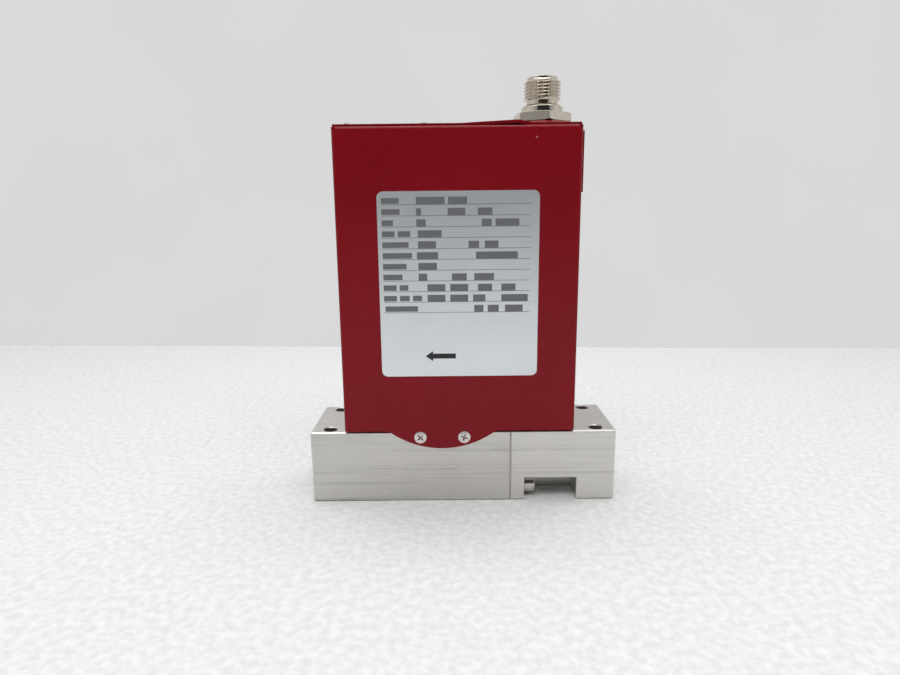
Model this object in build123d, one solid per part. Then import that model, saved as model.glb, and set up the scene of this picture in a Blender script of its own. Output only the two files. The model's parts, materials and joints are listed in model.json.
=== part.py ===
from build123d import *
import math
import os

# Mass flow controller with surface-mount ports, in millimetres.
# +X runs from the outlet end to the inlet end, +Z is up and -Y is the labelled front.
# The origin is the centre of the base's underside.

# Base blocks
base_length = 105.0
base_width = 28.6
base_height = 25.4
inlet_length = 36.15
block_chamfer = 0.4

# Bolt holes and ports of the surface mount
bolt_spacing_x = 92.0
bolt_spacing_y = 21.8
bolt_hole_r = 2.25
bolt_hole_chamfer = 0.3
port_spacing = 92.0
port_bore_r = 2.3
port_gland_r = 5.0
port_gland_depth = 1.9

# Tool pockets of the inlet block, and the screws that join the blocks
pocket_wall = 4.8
pocket_length = 18.25
pocket_height = 8.3
pocket_depth = 11.0
slot_length = 15.75
slot_side_gap = 0.3
block_screw_r = 2.0
block_screw_head_r = 3.5
block_screw_head_h = 4.0
block_screw_y = 9.3
block_screw_z = 4.5
lower_screw_length = 12.0
upper_screw_length = 10.0
tapped_spare = 1.5
clearance_hole_gap = 0.2
thread_gap = 0.03

# Seal and flow splitter in the joint of the blocks
splitter_bore_r = 6.0
splitter_bore_length = 30.0
splitter_length = 12.0
splitter_tail_step = 1.0
splitter_slots = 16
splitter_slot_w = 0.7
splitter_slot_d = 1.6
seal_section_r = 0.75
seal_land = 0.4
clip_thickness = 1.0
clip_depth = 0.45
clip_width = 1.6
clip_mouth = 5.0
fit_gap = 0.03

# Thermal sensor
sensor_x = -0.5
sensor_base_length = 24.0
sensor_base_width = 24.0
sensor_base_h = 4.0
sensor_tap_spacing = 16.0
sensor_tap_r = 0.6
sensor_seal_r = 2.5
sensor_seal_bore_r = 1.4
sensor_seal_h = 1.0
sensor_tube_r = 0.45
sensor_tube_bore_r = 0.3
sensor_tube_rise = 11.6
sensor_tube_bend = 3.0
winding_r = 1.1
winding_gap = 0.06
winding_length = 5.0
winding_spacing = 6.0
sensor_housing_length = 22.0
sensor_housing_width = 14.0
sensor_housing_h = 20.0
sensor_cavity_gap = 1.3
sensor_screw_spacing_x = 12.0
sensor_screw_spacing_y = 19.0
m25_r = 1.25
m25_head_r = 2.25
m25_head_h = 2.5
sensor_screw_length = 9.5

# Piezo valve
valve_x = -28.0
valve_pocket_r = 8.5
valve_pocket_depth = 6.0
valve_passage_r = 1.4
valve_outlet_offset = 6.0
valve_seat_h = 3.0
valve_nozzle_r = 2.0
valve_nozzle_bore_r = 0.8
valve_seat_rim = 1.0
valve_seat_relief = 0.3
diaphragm_t = 0.2
bonnet_width = 21.0
bonnet_h = 5.0
bonnet_socket_depth = 2.0
valve_screw_spacing = 15.0
m3_r = 1.5
m3_head_r = 2.75
m3_head_h = 3.0
valve_screw_length = 10.0
thrust_r = 3.0
thrust_h = 5.0
ball_r = 2.0
ball_cup_r = 1.2
ball_cup_depth = 1.0
stack_width = 7.0
stack_length = 44.0
stack_cap_h = 3.0
actuator_r = 7.0
actuator_wall = 1.5
actuator_cap_plug = 5.2
actuator_cap_h = 3.0
actuator_slot_w = 1.6
actuator_slot_d = 1.4
lead_hole_r = 1.2

# Pressure sensor
pressure_x = 27.0
pressure_hole_r = 4.0
pressure_hole_depth = 8.0
pressure_seal_h = 1.0
pressure_seal_bore_r = 2.4
pressure_passage_r = 1.0
pressure_hex_af = 13.0
pressure_hex_h = 5.0
pressure_can_r = 7.5
pressure_can_h = 16.0
pressure_pin_r = 0.3
pressure_pin_h = 3.5
pressure_pin_circle_r = 3.0

# Sheet-metal covers
cover_t = 1.0
cover_left = 40.42
cover_right = 37.89
cover_bottom = 26.0
cover_front_top = 125.4
cover_bend_r = 1.0
cover_inner_bend_r = 0.3
cover_lip = 5.5
cover_corner_relief = 1.2
cover_joint_gap = 0.3
top_sheet_setback = 2.8
tongue_r = 30.03
tongue_x = -7.06
tongue_drop = 6.24
cover_screw_x = -7.09
cover_screw_spacing = 15.0
cover_screw_z = 23.7
cover_screw_r = 1.0
cover_screw_head_r = 2.1
cover_screw_length = 5.0
cover_screw_proud = 0.05
lap_tab_low = 105.0
lap_tab_high = 123.8
lap_tab_front = 2.8
lap_tab_gap = 0.3
lap_tab_root = 3.5
lap_tab_joggle = 2.0
bow_start = 0.5
bow_peak = 14.0
bow_end = 19.0
bow_height = 0.55
boss_height = 0.95
boss_slope_run = 2.4

# Rating label on the front cover
label_width = 51.6
label_height = 60.3
label_x = -1.1
label_low = 45.4
label_t = 0.15
label_corner_r = 2.0

# Five-pin round connector
connector_x = 27.0
connector_hex_af = 17.0
connector_hex_h = 2.7
connector_hex_turn = 36.5
connector_collar_r = 6.8
connector_collar_h = 1.3
connector_cone_h = 0.7
connector_neck_r = 5.35
connector_neck_h = 1.9
connector_thread_r = 6.0
connector_thread_h = 6.3
connector_rim_r = 5.0
connector_rim_h = 1.5
connector_bore_r = 4.4
connector_shank_r = 6.25
connector_shank_h = 5.8
connector_nut_h = 3.0
connector_insert_floor = 8.0
connector_pin_r = 0.5
connector_pin_circle_r = 2.75
connector_pin_recess = 1.0
connector_pin_tail = 0.8
connector_key_w = 0.9
connector_key_d = 0.8
connector_key_recess = 2.3
gasket_section_r = 0.4
gasket_squash = 0.1
hex_chamfer = 0.35

# Circuit boards and what carries them
sheet_t = 1.2
board_t = 1.6
bracket_left = 38.5
bracket_right = 31.0
bracket_foot_depth = 12.0
bracket_wing_low = 6.0
bracket_top = 106.0
bracket_ear_w = 7.0
bracket_ear_reach = 9.0
bracket_left_ear_x = -35.0
bracket_right_ear_x = 14.0
bracket_window_w = 14.0
bracket_window_h = 32.0
bracket_screw_spacing = 14.0
bracket_screw_length = 4.5
bracket_housing_gap = 0.2
standoff_h = 3.0
standoff_af = 4.5
board_screw_head_h = 1.1
board_screw_r = 1.0
board_screw_head_r = 2.0
main_board_left = 37.0
main_board_right = 34.0
main_board_low = 33.0
board_hole_left_x = -30.0
board_hole_right_x = 26.0
board_hole_low_z = 62.0
board_hole_high_z = 100.0
board_edge_gap = 2.0
network_board_top = 119.6
network_board_side_gap = 1.0
network_board_width = 25.0
header_length = 24.0
header_width = 2.5
header_h = 5.0

# Controls on the top face
dial_xs = (-28.5, -20.0, -3.5)
dial_r = 2.2
dial_floor = 1.2
dial_recess = 0.25
dial_gap = 0.06
dial_slot_w = 0.8
dial_slot_d = 0.9
dial_housing_w = 7.2
control_hole_gap = 0.3
housing_top_gap = 0.25
button_x = -12.2
button_r = 1.35
button_rise = 1.85
button_flange_r = 1.85
button_flange_h = 0.6
button_travel = 0.5
button_housing_w = 5.0
button_housing_h = 3.6
button_plate_t = 0.9
light_x = -36.6
light_y = 8.0
light_r = 0.9
light_rise = 1.05
light_hole_gap = 0.1

# Places worked out from the sizes above
half_length = base_length / 2
half_width = base_width / 2
seam_x = half_length - inlet_length
gas_z = base_height / 2
port_x = port_spacing / 2
pocket_x = seam_x + pocket_wall
pocket_inner_y = half_width - pocket_depth
upper_screw_z = base_height - block_screw_z
lower_tap_depth = lower_screw_length - pocket_wall + tapped_spare
upper_tap_depth = upper_screw_length - pocket_wall + tapped_spare
slot_half_w = block_screw_head_r + slot_side_gap
slot_floor_z = upper_screw_z - block_screw_head_r - slot_side_gap
seal_mid_r = splitter_bore_r + seal_land + seal_section_r
splitter_x = sensor_x
splitter_low_x = splitter_x - splitter_length / 2
splitter_high_x = splitter_x + splitter_length / 2
splitter_end_x = seam_x - splitter_bore_length
valve_floor_z = base_height - valve_pocket_depth
valve_seat_z = valve_floor_z + valve_seat_h
diaphragm_z = valve_seat_z + diaphragm_t
bonnet_z = base_height + bonnet_h
actuator_low_z = bonnet_z - bonnet_socket_depth
ball_lift = math.sqrt(ball_r ** 2 - ball_cup_r ** 2)
thrust_top_z = diaphragm_z + thrust_h
ball_z = thrust_top_z + ball_lift
stack_low_z = ball_z + ball_lift
stack_top_z = stack_low_z + stack_length
actuator_top_z = stack_top_z + actuator_cap_plug
sensor_base_z = base_height + sensor_base_h
sensor_tube_z = sensor_base_z + sensor_tube_rise
sensor_housing_z = sensor_base_z + sensor_housing_h
front_plane = half_width + cover_t
top_sheet_low = cover_front_top
top_sheet_top = top_sheet_low + cover_t
top_sheet_front = top_sheet_setback - front_plane
connector_hex_r = connector_hex_af / math.sqrt(3)
boss_top_r = connector_hex_r + fit_gap
boss_top_z = top_sheet_top + boss_height
connector_hex_z = boss_top_z + connector_hex_h
connector_collar_z = connector_hex_z + connector_collar_h
connector_cone_z = connector_collar_z + connector_cone_h
connector_neck_z = connector_cone_z + connector_neck_h
connector_thread_z = connector_neck_z + connector_thread_h
connector_top_z = connector_thread_z + connector_rim_h
network_board_low = network_board_top - board_t
bracket_low_z = sensor_housing_z
bracket_front_y = sensor_housing_width / 2 + bracket_housing_gap
bracket_rear_y = bracket_front_y + sheet_t
main_board_front_y = bracket_rear_y + standoff_h
main_board_rear_y = main_board_front_y + board_t
main_board_top = network_board_low - board_edge_gap
dial_low_z = network_board_top + dial_floor
dial_top_z = top_sheet_top - dial_recess
housing_top_z = top_sheet_low - housing_top_gap
button_top_z = top_sheet_top + button_rise
button_plate_z = network_board_top + button_housing_h - button_plate_t


def slab(x0, x1, y0, y1, z0, z1):
    """Rectangular solid between two opposite corners."""
    centre = Pos((x0 + x1) / 2, (y0 + y1) / 2, (z0 + z1) / 2)
    return centre * Box(x1 - x0, y1 - y0, z1 - z0)


def post(x, y, z0, z1, radius):
    """Upright round bar."""
    return Pos(x, y, (z0 + z1) / 2) * Cylinder(radius, z1 - z0)


def bar_x(x0, x1, y, z, radius):
    """Round bar along X."""
    return Pos((x0 + x1) / 2, y, z) * Rot(0, 90, 0) * Cylinder(radius, x1 - x0)


def bar_y(x, y0, y1, z, radius):
    """Round bar along Y."""
    return Pos(x, (y0 + y1) / 2, z) * Rot(90, 0, 0) * Cylinder(radius, y1 - y0)


def cone(x, y, z0, z1, low_r, high_r):
    """Upright round taper."""
    return Pos(x, y, (z0 + z1) / 2) * Cone(low_r, high_r, z1 - z0)


def hexagon(x, y, z0, z1, across_flats, turn=0):
    """Upright hexagonal bar, its first corner turned from +X."""
    outline = RegularPolygon(across_flats / 2, 6, major_radius=False, rotation=turn)
    return Pos(x, y, z0) * extrude(outline, z1 - z0)


def cap_screw(shank_r, length, head_r, head_h):
    """Socket head cap screw, its shank down from z = 0 and its head above."""
    socket_af = head_r
    screw = post(0, 0, -length, 0, shank_r) + post(0, 0, 0, head_h, head_r)
    return screw - hexagon(0, 0, head_h / 2, head_h, socket_af)


def corners(spacing_x, spacing_y):
    """Four places of a rectangular pattern."""
    return [(sx * spacing_x / 2, sy * spacing_y / 2) for sx in (-1, 1) for sy in (-1, 1)]


def bolt_hole(x, y):
    """Mounting bolt hole with its top edge broken."""
    lip_z = base_height - bolt_hole_chamfer
    hole = post(x, y, 0, base_height, bolt_hole_r)
    return hole + cone(x, y, lip_z, base_height, bolt_hole_r, bolt_hole_r + bolt_hole_chamfer)


def port(x):
    """Gas port in the underside, with the gland of its seal."""
    return post(x, 0, 0, gas_z, port_bore_r) + post(x, 0, 0, port_gland_depth, port_gland_r)


def base_block(x0, x1):
    """Plain milled block of the base, its edges broken."""
    body = slab(x0, x1, -half_width, half_width, 0, base_height)
    return chamfer(body.edges(), block_chamfer)


# Gas path

def make_outlet_block():
    body = base_block(-half_length, seam_x)
    for side in (-1, 1):
        body -= bolt_hole(-bolt_spacing_x / 2, side * bolt_spacing_y / 2)
        for z, depth in ((block_screw_z, lower_tap_depth), (upper_screw_z, upper_tap_depth)):
            body -= bar_x(seam_x - depth, seam_x, side * block_screw_y, z, block_screw_r + thread_gap)
        for dx in (-1, 1):
            x = cover_screw_x + dx * cover_screw_spacing / 2
            face = side * half_width
            hole_end = face - side * (cover_screw_length + tapped_spare)
            body -= bar_y(x, min(face, hole_end), max(face, hole_end), cover_screw_z, cover_screw_r + thread_gap)
    body -= port(-port_x)
    # flow splitter bore, its step, the clip's groove and the seal's gland
    body -= bar_x(splitter_low_x, seam_x, 0, gas_z, splitter_bore_r)
    body -= bar_x(splitter_end_x, seam_x, 0, gas_z, splitter_bore_r - splitter_tail_step)
    clip_high_x = splitter_high_x + clip_thickness
    body -= bar_x(splitter_high_x, clip_high_x, 0, gas_z, splitter_bore_r + clip_depth)
    gland_r = seal_mid_r + seal_section_r + fit_gap
    body -= bar_x(seam_x - 2 * seal_section_r, seam_x, 0, gas_z, gland_r)
    # sensor taps with their seal glands
    for side in (-1, 1):
        x = sensor_x + side * sensor_tap_spacing / 2
        body -= post(x, 0, gas_z, base_height, sensor_tap_r)
        body -= post(x, 0, base_height - sensor_seal_h, base_height, sensor_seal_r)
    for dx, dy in corners(sensor_screw_spacing_x, sensor_screw_spacing_y):
        depth = sensor_screw_length - sensor_base_h + tapped_spare
        body -= post(sensor_x + dx, dy, base_height - depth, base_height, m25_r + thread_gap)
    # valve pocket, the passage up to its nozzle and the one down to the outlet
    body -= post(valve_x, 0, valve_floor_z, base_height, valve_pocket_r)
    body -= bar_x(valve_x, splitter_end_x, 0, gas_z, valve_passage_r)
    body -= post(valve_x, 0, gas_z, valve_floor_z, valve_passage_r)
    outlet_x = valve_x - valve_outlet_offset
    body -= post(outlet_x, 0, gas_z, valve_floor_z, valve_passage_r)
    body -= bar_x(-port_x, outlet_x, 0, gas_z, valve_passage_r)
    for dx, dy in corners(valve_screw_spacing, valve_screw_spacing):
        depth = valve_screw_length - bonnet_h + tapped_spare
        body -= post(valve_x + dx, dy, base_height - depth, base_height, m3_r + thread_gap)
    return body


def make_inlet_block():
    body = base_block(seam_x, half_length)
    for side in (-1, 1):
        body -= bolt_hole(bolt_spacing_x / 2, side * bolt_spacing_y / 2)
        low_y, high_y = sorted((side * pocket_inner_y, side * half_width))
        body -= slab(pocket_x, pocket_x + pocket_length, low_y, high_y, 0, pocket_height)
        y = side * block_screw_y
        body -= slab(pocket_x, pocket_x + slot_length, y - slot_half_w, y + slot_half_w,
                     slot_floor_z, base_height)
        for z in (block_screw_z, upper_screw_z):
            body -= bar_x(seam_x, pocket_x, y, z, block_screw_r + clearance_hole_gap)
    body -= port(port_x)
    body -= bar_x(seam_x, port_x, 0, gas_z, port_bore_r)
    body -= post(pressure_x, 0, base_height - pressure_hole_depth, base_height, pressure_hole_r)
    body -= post(pressure_x, 0, gas_z, base_height, pressure_passage_r)
    return body


def make_block_screws():
    """Two screws in the tool pockets and two in the slots under the cover."""
    screws = []
    for side in (-1, 1):
        for z, length in ((block_screw_z, lower_screw_length), (upper_screw_z, upper_screw_length)):
            screw = cap_screw(block_screw_r, length, block_screw_head_r, block_screw_head_h)
            screws.append(Pos(pocket_x, side * block_screw_y, z) * Rot(0, 90, 0) * screw)
    return screws


def make_block_seal():
    ring = Rot(0, 90, 0) * Torus(seal_mid_r, seal_section_r - fit_gap)
    return Pos(seam_x - seal_section_r, 0, gas_z) * ring


def make_flow_splitter():
    """Laminar flow element: a plug with fine slots along its outside."""
    radius = splitter_bore_r - fit_gap
    profile = Circle(radius)
    for index in range(splitter_slots):
        slot = Pos(radius - splitter_slot_d / 2, 0) * Rectangle(splitter_slot_d, splitter_slot_w)
        profile -= Rot(0, 0, 360 * index / splitter_slots) * slot
    plug = extrude(profile, splitter_length)
    return Pos(splitter_low_x, 0, gas_z) * Rot(0, 90, 0) * plug


def make_splitter_clip():
    """Internal retaining ring that holds the flow splitter on its step."""
    outer_r = splitter_bore_r + clip_depth - fit_gap
    ring = Circle(outer_r) - Circle(outer_r - clip_width)
    ring -= Pos(outer_r, 0) * Rectangle(2 * outer_r, clip_mouth)
    return Pos(splitter_high_x, 0, gas_z) * Rot(0, 90, 0) * extrude(ring, clip_thickness)


# Thermal sensor

def make_sensor_base():
    x0 = sensor_x - sensor_base_length / 2
    x1 = sensor_x + sensor_base_length / 2
    body = slab(x0, x1, -sensor_base_width / 2, sensor_base_width / 2, base_height, sensor_base_z)
    body = fillet(body.edges().filter_by(Axis.Z), m25_head_r / 2)
    for side in (-1, 1):
        x = sensor_x + side * sensor_tap_spacing / 2
        body -= post(x, 0, base_height, sensor_base_z, sensor_tube_r + fit_gap)
    for dx, dy in corners(sensor_screw_spacing_x, sensor_screw_spacing_y):
        body -= post(sensor_x + dx, dy, base_height, sensor_base_z, m25_r + clearance_hole_gap)
    return body


def make_sensor_seals():
    seals = []
    for side in (-1, 1):
        x = sensor_x + side * sensor_tap_spacing / 2
        outer = post(x, 0, base_height - sensor_seal_h, base_height, sensor_seal_r - fit_gap)
        seals.append(outer - post(x, 0, base_height - sensor_seal_h, base_height, sensor_seal_bore_r))
    return seals


def make_sensor_tube():
    """Capillary bent into a bridge over the flow splitter."""
    low_x = sensor_x - sensor_tap_spacing / 2
    high_x = sensor_x + sensor_tap_spacing / 2
    path = FilletPolyline(
        (low_x, 0, base_height), (low_x, 0, sensor_tube_z),
        (high_x, 0, sensor_tube_z), (high_x, 0, base_height), radius=sensor_tube_bend)
    section = Circle(sensor_tube_r) - Circle(sensor_tube_bore_r)
    return sweep(Plane((low_x, 0, base_height)) * section, path)


def make_sensor_windings():
    windings = []
    for side in (-1, 1):
        x = sensor_x + side * winding_spacing / 2
        x0 = x - winding_length / 2
        x1 = x + winding_length / 2
        coil = bar_x(x0, x1, 0, sensor_tube_z, winding_r)
        windings.append(coil - bar_x(x0, x1, 0, sensor_tube_z, sensor_tube_r + winding_gap))
    return windings


def make_sensor_housing():
    """Heavy aluminium shroud that keeps the capillary at one temperature."""
    half_x = sensor_housing_length / 2
    half_y = sensor_housing_width / 2
    body = slab(sensor_x - half_x, sensor_x + half_x, -half_y, half_y, sensor_base_z, sensor_housing_z)
    body = chamfer(body.edges().filter_by(Axis.Z), block_chamfer)
    cavity_x = sensor_tap_spacing / 2 + sensor_tube_r + sensor_cavity_gap
    cavity_y = winding_r + sensor_cavity_gap
    cavity_z = sensor_tube_z + winding_r + sensor_cavity_gap
    body -= slab(sensor_x - cavity_x, sensor_x + cavity_x, -cavity_y, cavity_y, sensor_base_z, cavity_z)
    for side in (-1, 1):
        x = sensor_x + side * bracket_screw_spacing / 2
        depth = bracket_screw_length - sheet_t + tapped_spare / 2
        body -= post(x, 0, sensor_housing_z - depth, sensor_housing_z, m25_r + thread_gap)
    return body


def make_sensor_screws():
    screw = cap_screw(m25_r, sensor_screw_length, m25_head_r, m25_head_h)
    places = corners(sensor_screw_spacing_x, sensor_screw_spacing_y)
    return [Pos(sensor_x + dx, dy, sensor_base_z) * screw for dx, dy in places]


# Piezo valve

def make_valve_seat():
    """Seat disc with a raised nozzle in a shallow relief, and the way down to the outlet."""
    radius = valve_pocket_r - fit_gap
    relief_z = valve_seat_z - valve_seat_relief
    body = post(valve_x, 0, valve_floor_z, valve_seat_z, radius)
    relief = post(valve_x, 0, relief_z, valve_seat_z, radius - valve_seat_rim)
    body -= relief - post(valve_x, 0, relief_z, valve_seat_z, valve_nozzle_r)
    body -= post(valve_x, 0, valve_floor_z, valve_seat_z, valve_nozzle_bore_r)
    body -= post(valve_x - valve_outlet_offset, 0, valve_floor_z, valve_seat_z, valve_nozzle_bore_r)
    return body


def make_valve_diaphragm():
    return post(valve_x, 0, valve_seat_z, diaphragm_z, valve_pocket_r - fit_gap)


def make_valve_bonnet():
    half = bonnet_width / 2
    body = slab(valve_x - half, valve_x + half, -half, half, base_height, bonnet_z)
    body = chamfer(body.edges().filter_by(Axis.Z), m3_head_r / 2)
    body += post(valve_x, 0, diaphragm_z, base_height, valve_pocket_r - fit_gap)
    body -= post(valve_x, 0, diaphragm_z, bonnet_z, thrust_r + fit_gap)
    body -= post(valve_x, 0, actuator_low_z, bonnet_z, actuator_r + fit_gap)
    for dx, dy in corners(valve_screw_spacing, valve_screw_spacing):
        body -= post(valve_x + dx, dy, base_height, bonnet_z, m3_r + clearance_hole_gap)
    return body


def make_valve_screws():
    screw = cap_screw(m3_r, valve_screw_length, m3_head_r, m3_head_h)
    places = corners(valve_screw_spacing, valve_screw_spacing)
    return [Pos(valve_x + dx, dy, bonnet_z) * screw for dx, dy in places]


def make_thrust_piece():
    body = post(valve_x, 0, diaphragm_z, thrust_top_z, thrust_r)
    return body - post(valve_x, 0, thrust_top_z - ball_cup_depth, thrust_top_z, ball_cup_r)


def make_thrust_ball():
    return Pos(valve_x, 0, ball_z) * Sphere(ball_r - fit_gap)


def make_piezo_stack():
    """Ceramic stack between its two bonded end caps."""
    half = stack_width / 2
    cap_r = actuator_r - actuator_wall - 4 * fit_gap
    body = slab(valve_x - half, valve_x + half, -half, half, stack_low_z, stack_top_z)
    body += post(valve_x, 0, stack_low_z, stack_low_z + stack_cap_h, cap_r)
    body += post(valve_x, 0, stack_top_z - stack_cap_h, stack_top_z, cap_r)
    return body - post(valve_x, 0, stack_low_z, stack_low_z + ball_cup_depth, ball_cup_r)


def make_actuator_housing():
    body = post(valve_x, 0, actuator_low_z, actuator_top_z, actuator_r)
    body -= post(valve_x, 0, actuator_low_z, actuator_top_z, actuator_r - actuator_wall)
    lead_z = stack_top_z - stack_cap_h - 2 * lead_hole_r
    return body - bar_y(valve_x, -actuator_r, 0, lead_z, lead_hole_r)


def make_actuator_cap():
    """Adjusting plug that sets the stack's preload."""
    top_z = actuator_top_z + actuator_cap_h
    body = post(valve_x, 0, stack_top_z, actuator_top_z, actuator_r - actuator_wall - fit_gap)
    body += post(valve_x, 0, actuator_top_z, top_z, actuator_r)
    body = chamfer(body.edges().sort_by(Axis.Z)[-1], block_chamfer)
    half_w = actuator_slot_w / 2
    return body - slab(valve_x - actuator_r, valve_x + actuator_r, -half_w, half_w,
                       top_z - actuator_slot_d, top_z)


# Pressure sensor

def make_pressure_sensor():
    """Screw-in pressure capsule with its hexagon, can and contact pins."""
    stem_z = base_height - pressure_hole_depth + pressure_seal_h
    hex_z = base_height + pressure_hex_h
    can_z = hex_z + pressure_can_h
    body = post(pressure_x, 0, stem_z, base_height, pressure_hole_r - thread_gap)
    body += hexagon(pressure_x, 0, base_height, hex_z, pressure_hex_af)
    can = post(pressure_x, 0, hex_z, can_z, pressure_can_r)
    body += fillet(can.edges().sort_by(Axis.Z)[-1], block_chamfer * 2)
    body -= post(pressure_x, 0, stem_z, hex_z, pressure_passage_r)
    for dx, dy in ((1, 0), (0, 1), (-1, 0), (0, -1)):
        x = pressure_x + dx * pressure_pin_circle_r
        body += post(x, dy * pressure_pin_circle_r, can_z, can_z + pressure_pin_h, pressure_pin_r)
    return body


def make_pressure_seal():
    low_z = base_height - pressure_hole_depth
    outer = post(pressure_x, 0, low_z, low_z + pressure_seal_h, pressure_hole_r - fit_gap)
    return outer - post(pressure_x, 0, low_z, low_z + pressure_seal_h, pressure_seal_bore_r)


# Circuit boards

def make_board_bracket():
    """Folded bracket: a foot on the sensor housing, a wide back and two ears at the top."""
    foot_left = sensor_x - sensor_housing_length / 2
    foot_right = sensor_x + sensor_housing_length / 2
    foot_front = bracket_rear_y - bracket_foot_depth
    wing_z = bracket_low_z + bracket_wing_low
    body = slab(foot_left, foot_right, foot_front, bracket_rear_y, bracket_low_z, bracket_low_z + sheet_t)
    body += slab(foot_left, foot_right, bracket_front_y, bracket_rear_y, bracket_low_z, wing_z)
    body += slab(-bracket_left, bracket_right, bracket_front_y, bracket_rear_y, wing_z, bracket_top)
    for x in (bracket_left_ear_x, bracket_right_ear_x):
        x0 = x - bracket_ear_w / 2
        x1 = x + bracket_ear_w / 2
        ear_y = bracket_rear_y - bracket_ear_reach
        ear_z = network_board_low - sheet_t
        body += slab(x0, x1, bracket_front_y, bracket_rear_y, bracket_top, network_board_low)
        body += slab(x0, x1, ear_y, bracket_rear_y, ear_z, network_board_low)
        hole_y = ear_y + bracket_ear_w / 2
        body -= post(x, hole_y, ear_z, network_board_low, board_screw_r + thread_gap)
    window_low = (wing_z + bracket_top - bracket_window_h) / 2
    pitch = (bracket_left + bracket_right) / 3
    for index in range(3):
        x = -bracket_left + pitch * (index + 0.5)
        hole = slab(x - bracket_window_w / 2, x + bracket_window_w / 2, bracket_front_y, bracket_rear_y,
                    window_low, window_low + bracket_window_h)
        body -= fillet(hole.edges().filter_by(Axis.Y), sheet_t * 2)
    for x in (board_hole_left_x, board_hole_right_x):
        for z in (board_hole_low_z, board_hole_high_z):
            body -= bar_y(x, bracket_front_y, bracket_rear_y, z, board_screw_r + thread_gap)
    for side in (-1, 1):
        x = sensor_x + side * bracket_screw_spacing / 2
        body -= post(x, 0, bracket_low_z, bracket_low_z + sheet_t, m25_r + clearance_hole_gap)
    return body


def make_bracket_screws():
    screw = cap_screw(m25_r, bracket_screw_length, m25_head_r, m25_head_h)
    z = bracket_low_z + sheet_t
    return [Pos(sensor_x + side * bracket_screw_spacing / 2, 0, z) * screw for side in (-1, 1)]


def make_main_board():
    body = slab(-main_board_left, main_board_right, main_board_front_y, main_board_rear_y,
                main_board_low, main_board_top)
    for x in (board_hole_left_x, board_hole_right_x):
        for z in (board_hole_low_z, board_hole_high_z):
            body -= bar_y(x, main_board_front_y, main_board_rear_y, z, board_screw_r + thread_gap)
    return body


def make_board_standoffs():
    standoffs = []
    for x in (board_hole_left_x, board_hole_right_x):
        for z in (board_hole_low_z, board_hole_high_z):
            spacer = hexagon(0, 0, 0, standoff_h, standoff_af)
            spacer -= post(0, 0, 0, standoff_h, board_screw_r + thread_gap)
            standoffs.append(Pos(x, bracket_rear_y, z) * Rot(-90, 0, 0) * spacer)
    return standoffs


def board_screw(length):
    """Low-headed machine screw, its shank down from z = 0."""
    body = post(0, 0, -length, 0, board_screw_r) + post(0, 0, 0, board_screw_head_h, board_screw_head_r)
    return chamfer(body.edges().sort_by(Axis.Z)[-1], board_screw_head_h / 3)


def make_board_screws():
    """Four screws into the bracket's back and two into its ears."""
    screws = []
    back = board_screw(board_t + standoff_h + sheet_t)
    for x in (board_hole_left_x, board_hole_right_x):
        for z in (board_hole_low_z, board_hole_high_z):
            screws.append(Pos(x, main_board_rear_y, z) * Rot(-90, 0, 0) * back)
    top = board_screw(board_t + sheet_t)
    ear_y = bracket_rear_y - bracket_ear_reach + bracket_ear_w / 2
    for x in (bracket_left_ear_x, bracket_right_ear_x):
        screws.append(Pos(x, ear_y, network_board_top) * top)
    return screws


def make_main_board_parts():
    """Processor, memory, converter and amplifiers on the front of the main board."""
    places = (
        (-5.0, 88.0, 14.0, 14.0, 1.4),
        (14.0, 92.0, 10.0, 6.0, 1.2),
        (-20.0, 92.0, 7.0, 9.0, 1.2),
        (16.0, 72.0, 12.0, 12.0, 2.4),
        (-20.0, 68.0, 5.0, 6.0, 1.5),
        (-10.0, 40.0, 12.0, 6.0, 2.2),
        (10.0, 40.0, 6.0, 6.0, 1.5),
    )
    parts = []
    for x, z, width, height, depth in places:
        parts.append(slab(x - width / 2, x + width / 2, main_board_front_y - depth, main_board_front_y,
                          z - height / 2, z + height / 2))
    return parts


def pin_places():
    """Centre contact and four contacts on a circle."""
    ring = [(math.cos(math.radians(a)), math.sin(math.radians(a))) for a in (45, 135, 225, 315)]
    return [(0.0, 0.0)] + [(connector_pin_circle_r * c, connector_pin_circle_r * s) for c, s in ring]


def make_network_board():
    half = network_board_width / 2
    left = -cover_left + cover_t + network_board_side_gap
    right = cover_right - cover_t - network_board_side_gap
    body = slab(left, right, -half, half, network_board_low, network_board_top)
    ear_y = bracket_rear_y - bracket_ear_reach + bracket_ear_w / 2
    for x in (bracket_left_ear_x, bracket_right_ear_x):
        body -= post(x, ear_y, network_board_low, network_board_top, board_screw_r + thread_gap)
    for dx, dy in pin_places():
        body -= post(connector_x + dx, dy, network_board_low, network_board_top, connector_pin_r + fit_gap)
    return body


def make_network_board_parts():
    """Network driver and isolator on the top board."""
    parts = []
    for x, y, width, depth in ((7.0, 7.0, 6.0, 5.0), (7.0, -4.0, 8.0, 6.0)):
        parts.append(slab(x - width / 2, x + width / 2, y - depth / 2, y + depth / 2,
                          network_board_top, network_board_top + board_t))
    return parts


def make_board_header():
    """Plug strip between the two boards."""
    return slab(-header_length / 2, header_length / 2, main_board_front_y - header_width, main_board_front_y,
                network_board_low - header_h, network_board_low)


# Round connector

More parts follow.
